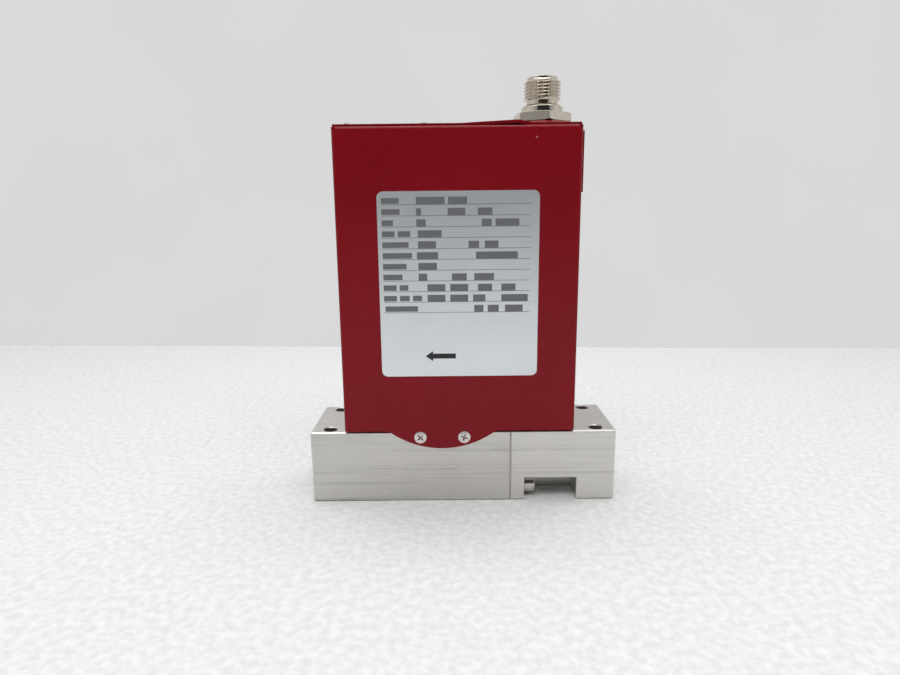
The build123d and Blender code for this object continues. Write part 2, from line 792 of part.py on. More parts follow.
def make_connector_shell():
    """Turned shell: hexagon, collar, neck and threaded nose above the panel, shank below it."""
    x = connector_x
    body = hexagon(x, 0, boss_top_z, connector_hex_z, connector_hex_af, connector_hex_turn)
    trim_r = connector_hex_r
    trim = cone(x, 0, connector_hex_z - hex_chamfer, connector_hex_z, trim_r, trim_r - hex_chamfer * 2)
    body = body & (post(x, 0, boss_top_z, connector_hex_z - hex_chamfer, trim_r) + trim)
    body += post(x, 0, connector_hex_z, connector_collar_z, connector_collar_r)
    body += cone(x, 0, connector_collar_z, connector_cone_z, connector_collar_r, connector_neck_r)
    body += post(x, 0, connector_cone_z, connector_neck_z, connector_neck_r)
    body += post(x, 0, connector_neck_z, connector_thread_z, connector_thread_r)
    body += cone(x, 0, connector_thread_z, connector_top_z, connector_thread_r, connector_rim_r)
    body += post(x, 0, boss_top_z - connector_shank_h, boss_top_z, connector_shank_r)
    body -= post(x, 0, boss_top_z - connector_shank_h, connector_top_z, connector_bore_r)
    groove_r = connector_shank_r + gasket_squash + gasket_section_r
    groove_h = 2 * (gasket_section_r - gasket_squash)
    outer = post(x, 0, boss_top_z, boss_top_z + groove_h, groove_r + gasket_section_r)
    return body - (outer - post(x, 0, boss_top_z, boss_top_z + groove_h, groove_r - gasket_section_r))


def make_connector_gasket():
    """Seal ring in the groove under the hexagon, pressed a little flat."""
    groove_r = connector_shank_r + gasket_squash + gasket_section_r
    groove_h = 2 * (gasket_section_r - gasket_squash)
    low_z = boss_top_z
    outer = post(connector_x, 0, low_z, low_z + groove_h, groove_r + gasket_section_r - fit_gap)
    inner = post(connector_x, 0, low_z, low_z + groove_h, groove_r - gasket_section_r + fit_gap)
    ring = outer - inner
    return fillet(ring.edges(), gasket_squash * 2)


def make_connector_nut():
    """Thin lock nut under the top sheet."""
    top_z = boss_top_z - cover_t
    body = hexagon(connector_x, 0, top_z - connector_nut_h, top_z, connector_hex_af)
    return body - post(connector_x, 0, top_z - connector_nut_h, top_z, connector_shank_r + fit_gap)


def make_connector_insert():
    """Moulded contact carrier, keyed at one side."""
    floor_z = connector_top_z - connector_insert_floor
    radius = connector_bore_r - fit_gap
    body = post(connector_x, 0, network_board_top, floor_z, radius)
    key = slab(connector_x - connector_key_w / 2, connector_x + connector_key_w / 2,
               radius - connector_key_d, radius, floor_z, connector_top_z - connector_key_recess)
    body += key & post(connector_x, 0, floor_z, connector_top_z, radius)
    for dx, dy in pin_places():
        body -= post(connector_x + dx, dy, network_board_top, floor_z, connector_pin_r + fit_gap)
    return body


def make_connector_pins():
    low_z = network_board_low - connector_pin_tail
    top_z = connector_top_z - connector_pin_recess
    return [post(connector_x + dx, dy, low_z, top_z, connector_pin_r) for dx, dy in pin_places()]


# Controls on the top board

def make_dial_housings():
    """Bodies of the rotary switches."""
    half = dial_housing_w / 2
    bodies = []
    for x in dial_xs:
        body = slab(x - half, x + half, -half, half, network_board_top, housing_top_z)
        bodies.append(body - post(x, 0, dial_low_z, housing_top_z, dial_r + dial_gap))
    return bodies


def make_dial(x):
    """Rotor of a rotary switch with a screwdriver slot."""
    body = post(x, 0, dial_low_z, dial_top_z, dial_r)
    body = chamfer(body.edges().sort_by(Axis.Z)[-1], dial_gap * 3)
    reach = dial_r * 0.8
    return body - slab(x - reach, x + reach, -dial_slot_w / 2, dial_slot_w / 2,
                       dial_top_z - dial_slot_d, dial_top_z)


def make_button_housing():
    half = button_housing_w / 2
    low_z = button_plate_z - button_flange_h - 2 * button_travel
    x = button_x
    body = slab(x - half, x + half, -half, half, network_board_top, button_plate_z + button_plate_t)
    body -= post(x, 0, low_z, button_plate_z, button_flange_r + dial_gap)
    return body - post(x, 0, low_z, button_plate_z + button_plate_t, button_r + dial_gap)


def make_zero_button():
    body = post(button_x, 0, button_plate_z - button_flange_h, button_top_z, button_r)
    body = fillet(body.edges().sort_by(Axis.Z)[-1], button_r / 3)
    return body + post(button_x, 0, button_plate_z - button_flange_h, button_plate_z, button_flange_r)


def make_status_lights():
    """Two light pipes with domed tips."""
    lights = []
    top_z = top_sheet_top + light_rise
    for side in (-1, 1):
        body = post(light_x, side * light_y, network_board_top, top_z, light_r)
        lights.append(fillet(body.edges().sort_by(Axis.Z)[-1], light_r * 0.8))
    return lights


# Covers

def cover_tray(rear_side, top_z):
    """Panel with two side flanges, bent at its upright edges; rear_side is +1 or -1."""
    outer = slab(-cover_left, cover_right, cover_joint_gap / 2, front_plane, cover_bottom, top_z)
    outer_edges = outer.edges().filter_by(Axis.Z).sort_by(Axis.Y)[-2:]
    outer = fillet(outer_edges, cover_bend_r)
    inner = slab(-cover_left + cover_t, cover_right - cover_t, cover_joint_gap / 2, half_width,
                 cover_bottom, top_z)
    inner_edges = inner.edges().filter_by(Axis.Z).sort_by(Axis.Y)[-2:]
    inner = fillet(inner_edges, cover_inner_bend_r)
    tray = outer - inner
    if rear_side < 0:
        tray = mirror(tray, Plane.XZ)
    return tray


def tongue(rear_side):
    """Round tongue under the panel that screws to the outlet block."""
    centre_z = cover_bottom - tongue_drop + tongue_r
    disc = bar_y(tongue_x, half_width, front_plane, centre_z, tongue_r)
    keep = slab(tongue_x - tongue_r, tongue_x + tongue_r, half_width, front_plane,
                centre_z - tongue_r, cover_bottom)
    body = disc & keep
    if rear_side < 0:
        body = mirror(body, Plane.XZ)
    return body


def cover_screw_holes(rear_side):
    """Countersunk holes of one tongue."""
    face = rear_side * front_plane
    holes = []
    for dx in (-1, 1):
        x = cover_screw_x + dx * cover_screw_spacing / 2
        sink = Cone(cover_screw_r + clearance_hole_gap, cover_screw_head_r + fit_gap, cover_t)
        holes.append(Pos(x, face - rear_side * cover_t / 2, cover_screw_z) * Rot(-90 * rear_side, 0, 0) * sink)
    return holes


def top_bend(low_z, high_z, far_y, x0, x1):
    """Upper end of the rear panel and the flange folded from it, as one bent strip along X."""
    out_y = front_plane
    in_y = front_plane - cover_t
    bend_y = out_y - cover_bend_r
    bend_z = high_z - cover_bend_r
    arc_reach = cover_bend_r * math.sqrt(0.5)
    section = make_face([
        Line((out_y, low_z), (out_y, bend_z)),
        ThreePointArc((out_y, bend_z), (bend_y + arc_reach, bend_z + arc_reach), (bend_y, high_z)),
        Line((bend_y, high_z), (far_y, high_z)),
        Line((far_y, high_z), (far_y, high_z - cover_t)),
        Line((far_y, high_z - cover_t), (in_y, high_z - cover_t)),
        Line((in_y, high_z - cover_t), (in_y, low_z)),
        Line((in_y, low_z), (out_y, low_z)),
    ])
    return Pos(x0, 0, 0) * extrude(Plane.YZ * section, x1 - x0)


def make_front_cover():
    """Front tray with its lip under the top sheet and its tongue on the outlet block."""
    bend_z = cover_front_top - cover_bend_r
    body = cover_tray(-1, bend_z)
    bend_y = front_plane - cover_bend_r
    for x0, x1 in ((-cover_left, -cover_left + cover_t), (cover_right - cover_t, cover_right)):
        body += slab(x0, x1, -bend_y, -cover_joint_gap / 2, bend_z, cover_front_top)
    lip = top_bend(bend_z - cover_t, cover_front_top, front_plane - cover_lip,
                   -cover_left + cover_corner_relief, cover_right - cover_corner_relief)
    body += mirror(lip, Plane.XZ)
    body += tongue(-1)
    for hole in cover_screw_holes(-1):
        body -= hole
    return body


def bowed_section(y, height):
    """Cross-section of the top sheet at one place along Y, lifted beside the connector."""
    upper = []
    for z in (top_sheet_low, top_sheet_top):
        start = (bow_start, z)
        end = (bow_end, z)
        upper.append([
            Line((-cover_left, z), start),
            Spline([start, (bow_peak, z + height), end], tangents=[(1, 0), (1, 0)]),
            Line(end, (cover_right, z)),
        ])
    left = Line((-cover_left, top_sheet_low), (-cover_left, top_sheet_top))
    right = Line((cover_right, top_sheet_low), (cover_right, top_sheet_top))
    return Pos(0, y, 0) * (Plane.XZ * make_face(upper[0] + upper[1] + [left, right]))


def lap_tab():
    """Joggled tab at the inlet end that laps over the front cover's flange."""
    root_y = lap_tab_root + lap_tab_joggle
    front_y = lap_tab_front - front_plane
    out_x = cover_right + lap_tab_gap + cover_t
    points = [
        (cover_right, root_y), (out_x, lap_tab_root), (out_x, front_y), (out_x - cover_t, front_y),
        (out_x - cover_t, lap_tab_root), (cover_right - cover_t, root_y),
    ]
    outline = make_face(Polyline(*points, close=True))
    return Pos(0, 0, lap_tab_low) * extrude(outline, lap_tab_high - lap_tab_low)


def make_rear_cover():
    """Rear tray with the top sheet that carries the connector and the controls."""
    body = cover_tray(1, top_sheet_low)
    far_y = front_plane - cover_bend_r - cover_t
    body += top_bend(top_sheet_low - cover_t, top_sheet_top, far_y, -cover_left, cover_right)
    flat_y = connector_shank_r
    body += slab(-cover_left, cover_right, flat_y, far_y, top_sheet_low, top_sheet_top)
    body += loft([bowed_section(top_sheet_front, bow_height), bowed_section(flat_y, 0)])
    # raised seat of the connector, the same thickness as the sheet around it
    base_r = boss_top_r + boss_slope_run
    seat = cone(connector_x, 0, top_sheet_top, boss_top_z, base_r, boss_top_r)
    reach = slab(-cover_left, cover_right, top_sheet_front, far_y, top_sheet_top, boss_top_z)
    body += seat & reach
    body -= cone(connector_x, 0, top_sheet_low, boss_top_z - cover_t, base_r, boss_top_r)
    body += tongue(1)
    for hole in cover_screw_holes(1):
        body -= hole
    # lap tab, cut free of the flange it is folded from
    body -= slab(cover_right - cover_t, cover_right, cover_joint_gap / 2, lap_tab_root + lap_tab_joggle,
                 lap_tab_low - cover_joint_gap, lap_tab_high + cover_joint_gap)
    body += lap_tab()
    # openings of the top sheet
    body -= post(connector_x, 0, top_sheet_low, boss_top_z, connector_shank_r + light_hole_gap)
    for x in dial_xs:
        body -= post(x, 0, top_sheet_low, top_sheet_top, dial_r + control_hole_gap)
    body -= post(button_x, 0, top_sheet_low, top_sheet_top, button_r + control_hole_gap)
    for side in (-1, 1):
        body -= post(light_x, side * light_y, top_sheet_low, top_sheet_top, light_r + light_hole_gap)
    return body


def make_cover_screws():
    """Flat-headed screws, two in each tongue."""
    head_h = cover_t + cover_screw_proud
    screw = Pos(0, 0, -cover_screw_length / 2) * Cylinder(cover_screw_r, cover_screw_length)
    screw += Pos(0, 0, head_h / 2) * Cone(cover_screw_r, cover_screw_head_r, head_h)
    screws = []
    for side in (-1, 1):
        for dx in (-1, 1):
            x = cover_screw_x + dx * cover_screw_spacing / 2
            screws.append(Pos(x, side * half_width, cover_screw_z) * Rot(-90 * side, 0, 0) * screw)
    return screws


def make_rating_label():
    outline = RectangleRounded(label_width, label_height, label_corner_r)
    plate = extrude(Plane.XZ * outline, label_t)
    return Pos(label_x, -front_plane, label_low + label_height / 2) * plate


pieces = {
    "outlet_block": make_outlet_block(),
    "inlet_block": make_inlet_block(),
    "block_screws": make_block_screws(),
    "block_seal": make_block_seal(),
    "flow_splitter": make_flow_splitter(),
    "splitter_clip": make_splitter_clip(),
    "sensor_base": make_sensor_base(),
    "sensor_seals": make_sensor_seals(),
    "sensor_tube": make_sensor_tube(),
    "sensor_windings": make_sensor_windings(),
    "sensor_housing": make_sensor_housing(),
    "sensor_screws": make_sensor_screws(),
    "valve_seat": make_valve_seat(),
    "valve_diaphragm": make_valve_diaphragm(),
    "valve_bonnet": make_valve_bonnet(),
    "valve_screws": make_valve_screws(),
    "thrust_piece": make_thrust_piece(),
    "thrust_ball": make_thrust_ball(),
    "piezo_stack": make_piezo_stack(),
    "actuator_housing": make_actuator_housing(),
    "actuator_cap": make_actuator_cap(),
    "pressure_sensor": make_pressure_sensor(),
    "pressure_seal": make_pressure_seal(),
    "board_bracket": make_board_bracket(),
    "bracket_screws": make_bracket_screws(),
    "main_board": make_main_board(),
    "main_board_parts": make_main_board_parts(),
    "board_standoffs": make_board_standoffs(),
    "board_screws": make_board_screws(),
    "network_board": make_network_board(),
    "network_board_parts": make_network_board_parts(),
    "board_header": make_board_header(),
    "connector_shell": make_connector_shell(),
    "connector_gasket": make_connector_gasket(),
    "connector_nut": make_connector_nut(),
    "connector_insert": make_connector_insert(),
    "connector_pins": make_connector_pins(),
    "dial_housings": make_dial_housings(),
    "address_tens_dial": make_dial(dial_xs[0]),
    "address_ones_dial": make_dial(dial_xs[1]),
    "data_rate_dial": make_dial(dial_xs[2]),
    "button_housing": make_button_housing(),
    "zero_button": make_zero_button(),
    "status_lights": make_status_lights(),
    "front_cover": make_front_cover(),
    "rear_cover": make_rear_cover(),
    "cover_screws": make_cover_screws(),
    "rating_label": make_rating_label(),
}

os.makedirs("parts", exist_ok=True)
for name, piece in pieces.items():
    if isinstance(piece, list):
        piece = Compound(children=piece)
    export_step(piece, f"parts/{name}.step")
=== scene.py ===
"""Finishes the packed mass flow controller and sets up a plain studio around it."""
import json
import math

import bmesh
import bpy
from bpy.props import FloatProperty, FloatVectorProperty, IntProperty, PointerProperty
from mathutils import Euler, Matrix, Vector


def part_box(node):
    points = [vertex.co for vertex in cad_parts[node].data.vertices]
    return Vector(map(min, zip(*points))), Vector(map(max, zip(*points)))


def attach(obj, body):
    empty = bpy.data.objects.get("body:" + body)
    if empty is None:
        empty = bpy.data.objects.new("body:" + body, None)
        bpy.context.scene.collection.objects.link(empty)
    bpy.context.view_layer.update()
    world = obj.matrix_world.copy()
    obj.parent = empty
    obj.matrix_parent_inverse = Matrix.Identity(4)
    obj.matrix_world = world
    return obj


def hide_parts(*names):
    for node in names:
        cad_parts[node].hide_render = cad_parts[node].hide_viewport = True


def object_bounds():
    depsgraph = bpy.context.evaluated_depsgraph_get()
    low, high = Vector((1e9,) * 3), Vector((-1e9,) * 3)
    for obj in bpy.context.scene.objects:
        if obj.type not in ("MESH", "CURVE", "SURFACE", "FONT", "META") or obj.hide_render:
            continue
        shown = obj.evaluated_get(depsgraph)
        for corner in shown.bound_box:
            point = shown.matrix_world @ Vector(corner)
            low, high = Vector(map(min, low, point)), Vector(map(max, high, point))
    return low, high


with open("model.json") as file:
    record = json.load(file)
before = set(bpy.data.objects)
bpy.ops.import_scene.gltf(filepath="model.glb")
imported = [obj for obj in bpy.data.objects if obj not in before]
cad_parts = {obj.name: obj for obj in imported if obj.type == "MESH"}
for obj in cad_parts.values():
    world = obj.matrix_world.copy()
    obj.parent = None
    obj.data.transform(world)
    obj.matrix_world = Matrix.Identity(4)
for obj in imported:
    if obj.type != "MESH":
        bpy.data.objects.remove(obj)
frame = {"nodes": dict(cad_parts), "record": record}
cad_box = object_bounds()

bl_info = {
    "name": "Mass Flow Controller Finish",
    "version": (1, 0, 0),
    "blender": (4, 5, 0),
    "location": "3D View > Sidebar > Flow Controller",
    "description": "Gives the packed mass flow controller its finishes, small parts and studio",
    "category": "Object",
}

BODY = "base"
FULL_TURN = 2 * math.pi
QUARTER_TURN = math.pi / 2
HEX_CORNER = 1 / math.cos(math.pi / 6)  # a hexagon's reach at its corners against its flats
WELD = 1e-7  # points nearer than this are one
HAIR = 1e-6  # smaller than any size of the part
SHEET = 0.001  # thickness of the packed covers
SEAT_RADIUS = 0.01235  # of the top sheet's flat seat under the connector


# Sizes and colours that a user would change

def length(name, description, default):
    return FloatProperty(name=name, description=description, default=default, unit="LENGTH", precision=5)


def angle(name, description, degrees):
    return FloatProperty(name=name, description=description, default=math.radians(degrees), subtype="ANGLE")


def share(name, description, default):
    return FloatProperty(name=name, description=description, default=default, min=0.0, max=1.0)


def colour(name, description, default):
    return FloatVectorProperty(name=name, description=description, default=default, subtype="COLOR",
                               min=0.0, max=1.0)


class SteelLook(bpy.types.PropertyGroup):
    """Milled stainless steel of the two base blocks."""

    colour: colour("Colour", "Colour of the clean steel", (0.70, 0.68, 0.645))
    streak_colour: colour("Streak colour", "Colour of the darker milling streaks", (0.50, 0.485, 0.455))
    roughness: share("Roughness", "Roughness between the milling lines", 0.36)
    line_width: length("Line width", "Width of one milling line", 0.00022)
    line_length: length("Line length", "Length over which a milling line fades", 0.018)
    line_depth: length("Line depth", "Depth of the milling lines", 0.0000022)
    edge_radius: length("Edge radius", "Radius that the block's edges are broken to", 0.00012)
    seam_place: length("Seam", "Place along X where the inlet block starts", 0.01635)
    # Painted shade: the blocks' sides are drawn darker than their tops
    outlet_side: share("Outlet side", "Tone of the outlet block's sides against its top", 0.85)
    inlet_side: share("Inlet side", "Tone of the inlet block's sides against the outlet block's top", 0.92)
    inlet_top: share("Inlet top", "Tone of the inlet block's top against the outlet block's top", 0.84)


class CoverLook(bpy.types.PropertyGroup):
    """Powder coat of the sheet-metal covers, and the form of the rear cover's edges."""

    colour: colour("Colour", "Colour of the powder coat", (0.228, 0.0045, 0.0105))
    roughness: share("Roughness", "Roughness of the powder coat", 0.28)
    gloss: share("Gloss", "Specular level of the powder coat", 0.17)
    grain_size: length("Grain size", "Size of one bump of the powder coat", 0.00035)
    grain_depth: length("Grain depth", "Height of the powder coat's bumps", 0.000006)
    edge_radius: length("Edge radius", "Radius of the coated sheet edges", 0.00018)
    chip_colour: colour("Chip colour", "Primer that shows in the small chips", (0.45, 0.20, 0.20))
    chip_size: length("Chip size", "Radius of the largest chip", 0.00035)
    lift_start: length("Lift start", "Place along X where the top sheet leaves the lip", 0.0)
    lift_peak: length("Lift peak", "Place along X where the top sheet stands highest", 0.018)
    lift_end: length("Lift end", "Place along X where the top sheet is down again", 0.0225)
    lift_height: length("Lift height", "Height of the lift at the top sheet's front edge", 0.0009)
    lift_root: length("Lift root", "Place along Y behind which the top sheet is flat", 0.00625)
    tab_gap: length("Tab gap", "Gap between the lap tab and the flange under it", 0.00006)
    tab_thickness: length("Tab thickness", "Thickness of the lap tab", 0.0008)


class LabelLook(bpy.types.PropertyGroup):
    """Silver film label with ruled lines and plain print."""

    colour: colour("Film colour", "Colour of the silver film", (0.77, 0.80, 0.825))
    roughness: share("Roughness", "Roughness of the film", 0.32)
    metallic: share("Metallic", "How metallic the film is", 0.80)
    print_colour: colour("Print colour", "Colour of the black print", (0.014, 0.014, 0.016))
    field_colour: colour("Field colour", "Colour of the grey fields", (0.150, 0.153, 0.162))
    rule_colour: colour("Rule colour", "Colour of the ruled lines", (0.12, 0.13, 0.16))
    print_height: length("Print height", "How far the print stands on the film", 0.00001)
    rule_count: IntProperty(name="Rules", description="Number of ruled lines", default=11)
    rule_pitch: length("Rule pitch", "Distance between ruled lines", 0.003455)
    rule_width: length("Rule width", "Width of a ruled line", 0.00015)
    rule_margin: length("Rule margin", "Film left before a ruled line", 0.0014)
    rule_end_margin: length("Rule end margin", "Film left after a ruled line", 0.0028)
    caption_height: length("Caption height", "Height of the bars in place of captions", 0.0018)
    entry_height: length("Entry height", "Height of the bars in place of entries", 0.00225)
    caption_width: length("Caption width", "Width of the column of captions", 0.012)
    field_rise: length("Field rise", "Height of the bars' middle over their rule", 0.00122)
    first_rule: length("First rule", "Distance of the first line from the film's top", 0.00415)
    arrow_length: length("Arrow length", "Length of the flow arrow", 0.0101)
    arrow_side: length("Arrow side", "Distance of the arrow's tip from the film's left edge", 0.01455)
    arrow_rise: length("Arrow rise", "Height of the arrow over the film's lower edge", 0.0069)
    arrow_height: length("Arrow height", "Height of the arrow's head", 0.0034)


class ConnectorLook(bpy.types.PropertyGroup):
    """Plated round connector with its real thread."""

    colour: colour("Plating colour", "Colour of the nickel plating", (0.64, 0.585, 0.50))
    roughness: share("Roughness", "Roughness of the plating", 0.09)
    across_flats: length("Across flats", "Width of the hexagon", 0.017)
    hex_turn: angle("Hexagon turn", "Turn of the hexagon's first corner from X", 36.5)
    hex_height: length("Hexagon height", "Height of the hexagon", 0.0027)
    hex_bevel: length("Hexagon bevel", "Height of the bevel on the hexagon's corners", 0.00033)
    collar_radius: length("Collar radius", "Radius of the collar on the hexagon", 0.0068)
    collar_height: length("Collar height", "Height of the collar", 0.0020)
    shoulder_radius: length("Shoulder radius", "Radius at the top of the collar's slope", 0.00595)
    shoulder_height: length("Shoulder height", "Height of the slope above the collar", 0.00065)
    neck_radius: length("Neck radius", "Radius of the plain neck", 0.00515)
    neck_height: length("Neck height", "Height of the plain neck", 0.0016)
    thread_radius: length("Thread radius", "Radius over the thread's crests", 0.006)
    thread_height: length("Thread height", "Height of the threaded nose", 0.00555)
    thread_pitch: length("Thread pitch", "Rise of one turn of the thread", 0.00102)
    thread_depth: length("Thread depth", "Depth of the thread", 0.0006)
    thread_runout: length("Thread run-out", "Height over which the thread fades at its ends", 0.0004)
    rim_radius: length("Rim radius", "Radius of the nose's tip", 0.005)
    rim_slope: length("Rim slope", "Height of the slope above the thread", 0.00075)
    rim_height: length("Rim height", "Height of the plain tip", 0.0007)
    rim_drop: length("Rim drop", "How far the tip lies under the solid's top", 0.0001)
    bore_radius: length("Bore radius", "Radius of the socket", 0.0044)
    shank_radius: length("Shank radius", "Radius of the shank under the hexagon", 0.00625)
    ease: length("Ease", "Radius that turned edges are broken to", 0.0001)
    seal_width: length("Seal width", "Width of the seal ring in the hexagon's groove", 0.0008)
    seal_gap: length("Seal gap", "Room around the seal ring in its groove", 0.00003)


class ScrewLook(bpy.types.PropertyGroup):
    """Cover screws with cross recesses and socket screws of the blocks."""

    colour: colour("Head colour", "Colour of the plated cover screws", (0.74, 0.68, 0.66))
    roughness: share("Roughness", "Roughness of the plated cover screws", 0.32)
    dome: length("Dome", "Rise of the cover screw's head", 0.0002)
    rim_height: length("Rim height", "Height of the cover screw's upright rim", 0.0001)
    shank_length: length("Shank length", "Length of the cover screw under its face", 0.0045)
    cross_length: length("Cross length", "Length of the cross recess at the head's face", 0.0027)
    cross_width: length("Cross width", "Width of the arms of the cross recess", 0.00060)
    cross_depth: length("Cross depth", "Depth of the cross recess", 0.0010)
    first_turn: angle("First turn", "Turn of the first cover screw", 45.0)
    next_turn: angle("Next turn", "Turn from one cover screw to the next", -65.0)
    socket_head_radius: length("Socket head radius", "Radius of the block screws' heads", 0.0035)
    socket_head_height: length("Socket head height", "Height of the block screws' heads", 0.004)
    socket_ease: length("Socket ease", "Radius that the block screws' edges are broken to", 0.0004)
    socket_across_flats: length("Socket across flats", "Width of the block screws' sockets", 0.003)
    socket_turn: angle("Socket turn", "Turn of the first block screw of a row", math.degrees(0.3))
    socket_next_turn: angle("Socket next turn", "Turn from one block screw to the next", math.degrees(0.5))
    socket_shank_radius: length("Shank radius", "Radius of the block screws' shanks", 0.002)
    upper_shank_length: length("Upper shank length", "Length of the upper block screws' shanks", 0.010)


class StudioLook(bpy.types.PropertyGroup):
    """Camera, floor, backdrop and the light of the room."""

    camera_place: FloatVectorProperty(name="Camera", description="Place of the camera", subtype="XYZ",
                                      default=(-0.003547, -0.21401, 0.09963), unit="LENGTH")
    camera_yaw: angle("Yaw", "Camera's turn to the right", -0.172)
    camera_pitch: angle("Pitch", "How far the camera looks down", 11.683)
    camera_roll: angle("Roll", "Camera's lean to the right", -0.602)
    camera_lens: FloatProperty(name="Lens", description="Focal length on a 36 mm sensor", default=24.568,
                               unit="CAMERA")
    floor_colour: colour("Floor colour", "Colour of the foam floor", (0.82, 0.83, 0.83))
    floor_reach: length("Floor reach", "How far the floor reaches to the sides and the front", 1.6)
    floor_end: length("Floor end", "How far the floor reaches behind the part", 0.5)
    floor_drop: length("Floor drop", "How far the floor lies under the part", 0.00004)
    wall_colour: colour("Backdrop colour", "Colour of the backdrop", (0.69, 0.69, 0.69))
    wall_distance: length("Backdrop distance", "Distance of the backdrop behind the part", 0.233)
    wall_reach: length("Wall reach", "How far the backdrop reaches to the sides", 1.8)
    wall_height: length("Wall height", "Height of the backdrop", 1.5)
    wall_sink: length("Wall sink", "How far the backdrop's foot lies under the floor", 0.001)
    wall_turn: angle("Backdrop turn", "Turn of the backdrop about the upright", -3.5)
    foam_size: length("Foam cell", "Size of one cell of the foam", 0.0011)
    opening_core: share("Opening core", "Where the opening starts to brighten, 1 straight ahead", 0.86)
    opening_edge: share("Opening edge", "Where the opening ends, 1 straight ahead", 0.80)
    opening_side: share("Opening side", "Where the sides are fully bright, 1 straight ahead", 0.34)
    ceiling_start: share("Ceiling start", "Where the ceiling starts, 1 straight up", 0.66)
    ceiling_end: share("Ceiling end", "Where the ceiling is fully bright, 1 straight up", 0.74)
    room_level: share("Room level", "Light that comes from the sides and above", 0.74)
    edge_level: share("Edge level", "Light at the edge of the dark opening in front", 0.36)
    seen_level: share("Seen level", "How light the room behind the backdrop looks", 0.72)
    dark_level: share("Dark level", "Light that comes from the dark opening in front", 0.03)


# Nodes

class NodeMaker:
    """Adds nodes to one tree; an input's value is a number, a colour or another node's output."""

    def __init__(self, tree):
        self.tree = tree

    def add(self, kind, inputs=None, **settings):
        node = self.tree.nodes.new(kind)
        for name, value in settings.items():
            setattr(node, name, value)
        for key, value in (inputs or {}).items():
            self.feed(node.inputs[key], value)
        return node

    def feed(self, socket, value):
        if isinstance(value, bpy.types.NodeSocket):
            self.tree.links.new(value, socket)
        else:
            socket.default_value = value

    def math(self, operation, first, second=0.0):
        return self.add("ShaderNodeMath", {0: first, 1: second}, operation=operation).outputs[0]

    def vector_math(self, operation, first, second=(0.0, 0.0, 0.0)):
        return self.add("ShaderNodeVectorMath", {0: first, 1: second}, operation=operation).outputs[0]

    def parts(self, vector):
        """The X, Y and Z of a vector."""
        return self.add("ShaderNodeSeparateXYZ", {0: vector}).outputs

    def vector(self, **axes):
        """A vector of what is given for X, Y and Z."""
        return self.add("ShaderNodeCombineXYZ", axes).outputs[0]

    def between(self, factor, first, second):
        """A number between two others."""
        return self.add("ShaderNodeMix", {0: factor, 2: first, 3: second}).outputs[0]

    def ranged(self, value, low, high, to_low=0.0, to_high=1.0):
        """Clamped change of range."""
        inputs = {"Value": value, "From Min": low, "From Max": high, "To Min": to_low, "To Max": to_high}
        return self.add("ShaderNodeMapRange", inputs).outputs[0]


class Finish(NodeMaker):
    """One material in the making: a Principled shader fed by what is added."""

    def __init__(self, name, base, roughness, metallic=0.0, specular=0.5):
        self.material = bpy.data.materials.new(name)
        self.material.use_nodes = True
        self.material.diffuse_color = (*base, 1.0)
        super().__init__(self.material.node_tree)
        self.tree.nodes.clear()
        self.base = (*base, 1.0)
        self.shader = self.add("ShaderNodeBsdfPrincipled", {
            "Base Color": self.base, "Roughness": roughness, "Metallic": metallic,
            "Specular IOR Level": specular})
        self.output = self.add("ShaderNodeOutputMaterial", {"Surface": self.shader.outputs["BSDF"]})
        coordinates = self.add("ShaderNodeTexCoord").outputs
        self.place = coordinates["Object"]
        self.facing = coordinates["Normal"]

    def noise(self, vector, scale=1.0, detail=2.0):
        """Noise pattern; on the object's place, scale is its cells to a metre."""
        inputs = {"Vector": vector, "Scale": scale, "Detail": detail}
        return self.add("ShaderNodeTexNoise", inputs).outputs["Fac"]

    def mixed(self, factor, first, second):
        return self.add("ShaderNodeMix", {0: factor, 6: first, 7: second}, data_type="RGBA").outputs[2]

    def uneven(self, pattern, low=0.0, high=1.0):
        """A number that follows a noise pattern."""
        return self.ranged(pattern, 0.3, 0.7, low, high)

    def mottled(self, pattern, dark, light):
        """The finish's colour, from darker to lighter as a pattern says."""
        return self.mixed(pattern, shaded(self.base, dark), shaded(self.base, light))

    def cells(self, vector, scale=1.0):
        """Distance from the nearest point of a scattered pattern."""
        return self.add("ShaderNodeTexVoronoi", {"Vector": vector, "Scale": scale}).outputs["Distance"]

    def scaled(self, vector, scale):
        return self.vector_math("MULTIPLY", vector, scale)

    def set(self, **values):
        """Feeds sockets of the shader; an underscore stands for a space."""
        for name, value in values.items():
            self.feed(self.shader.inputs[name.replace("_", " ")], value)

    def bump(self, height, distance, edge_radius=0.0):
        """Fine relief, on edges rounded by edge_radius."""
        inputs = {"Height": height, "Distance": distance}
        if edge_radius:
            inputs["Normal"] = self.add("ShaderNodeBevel", {"Radius": edge_radius}, samples=6).outputs[0]
        self.set(Normal=self.add("ShaderNodeBump", inputs).outputs[0])


def shaded(base, factor):
    """A colour made lighter or darker, with its alpha."""
    return tuple(min(1.0, channel * factor) for channel in base[:3]) + (1.0,)


# Finishes

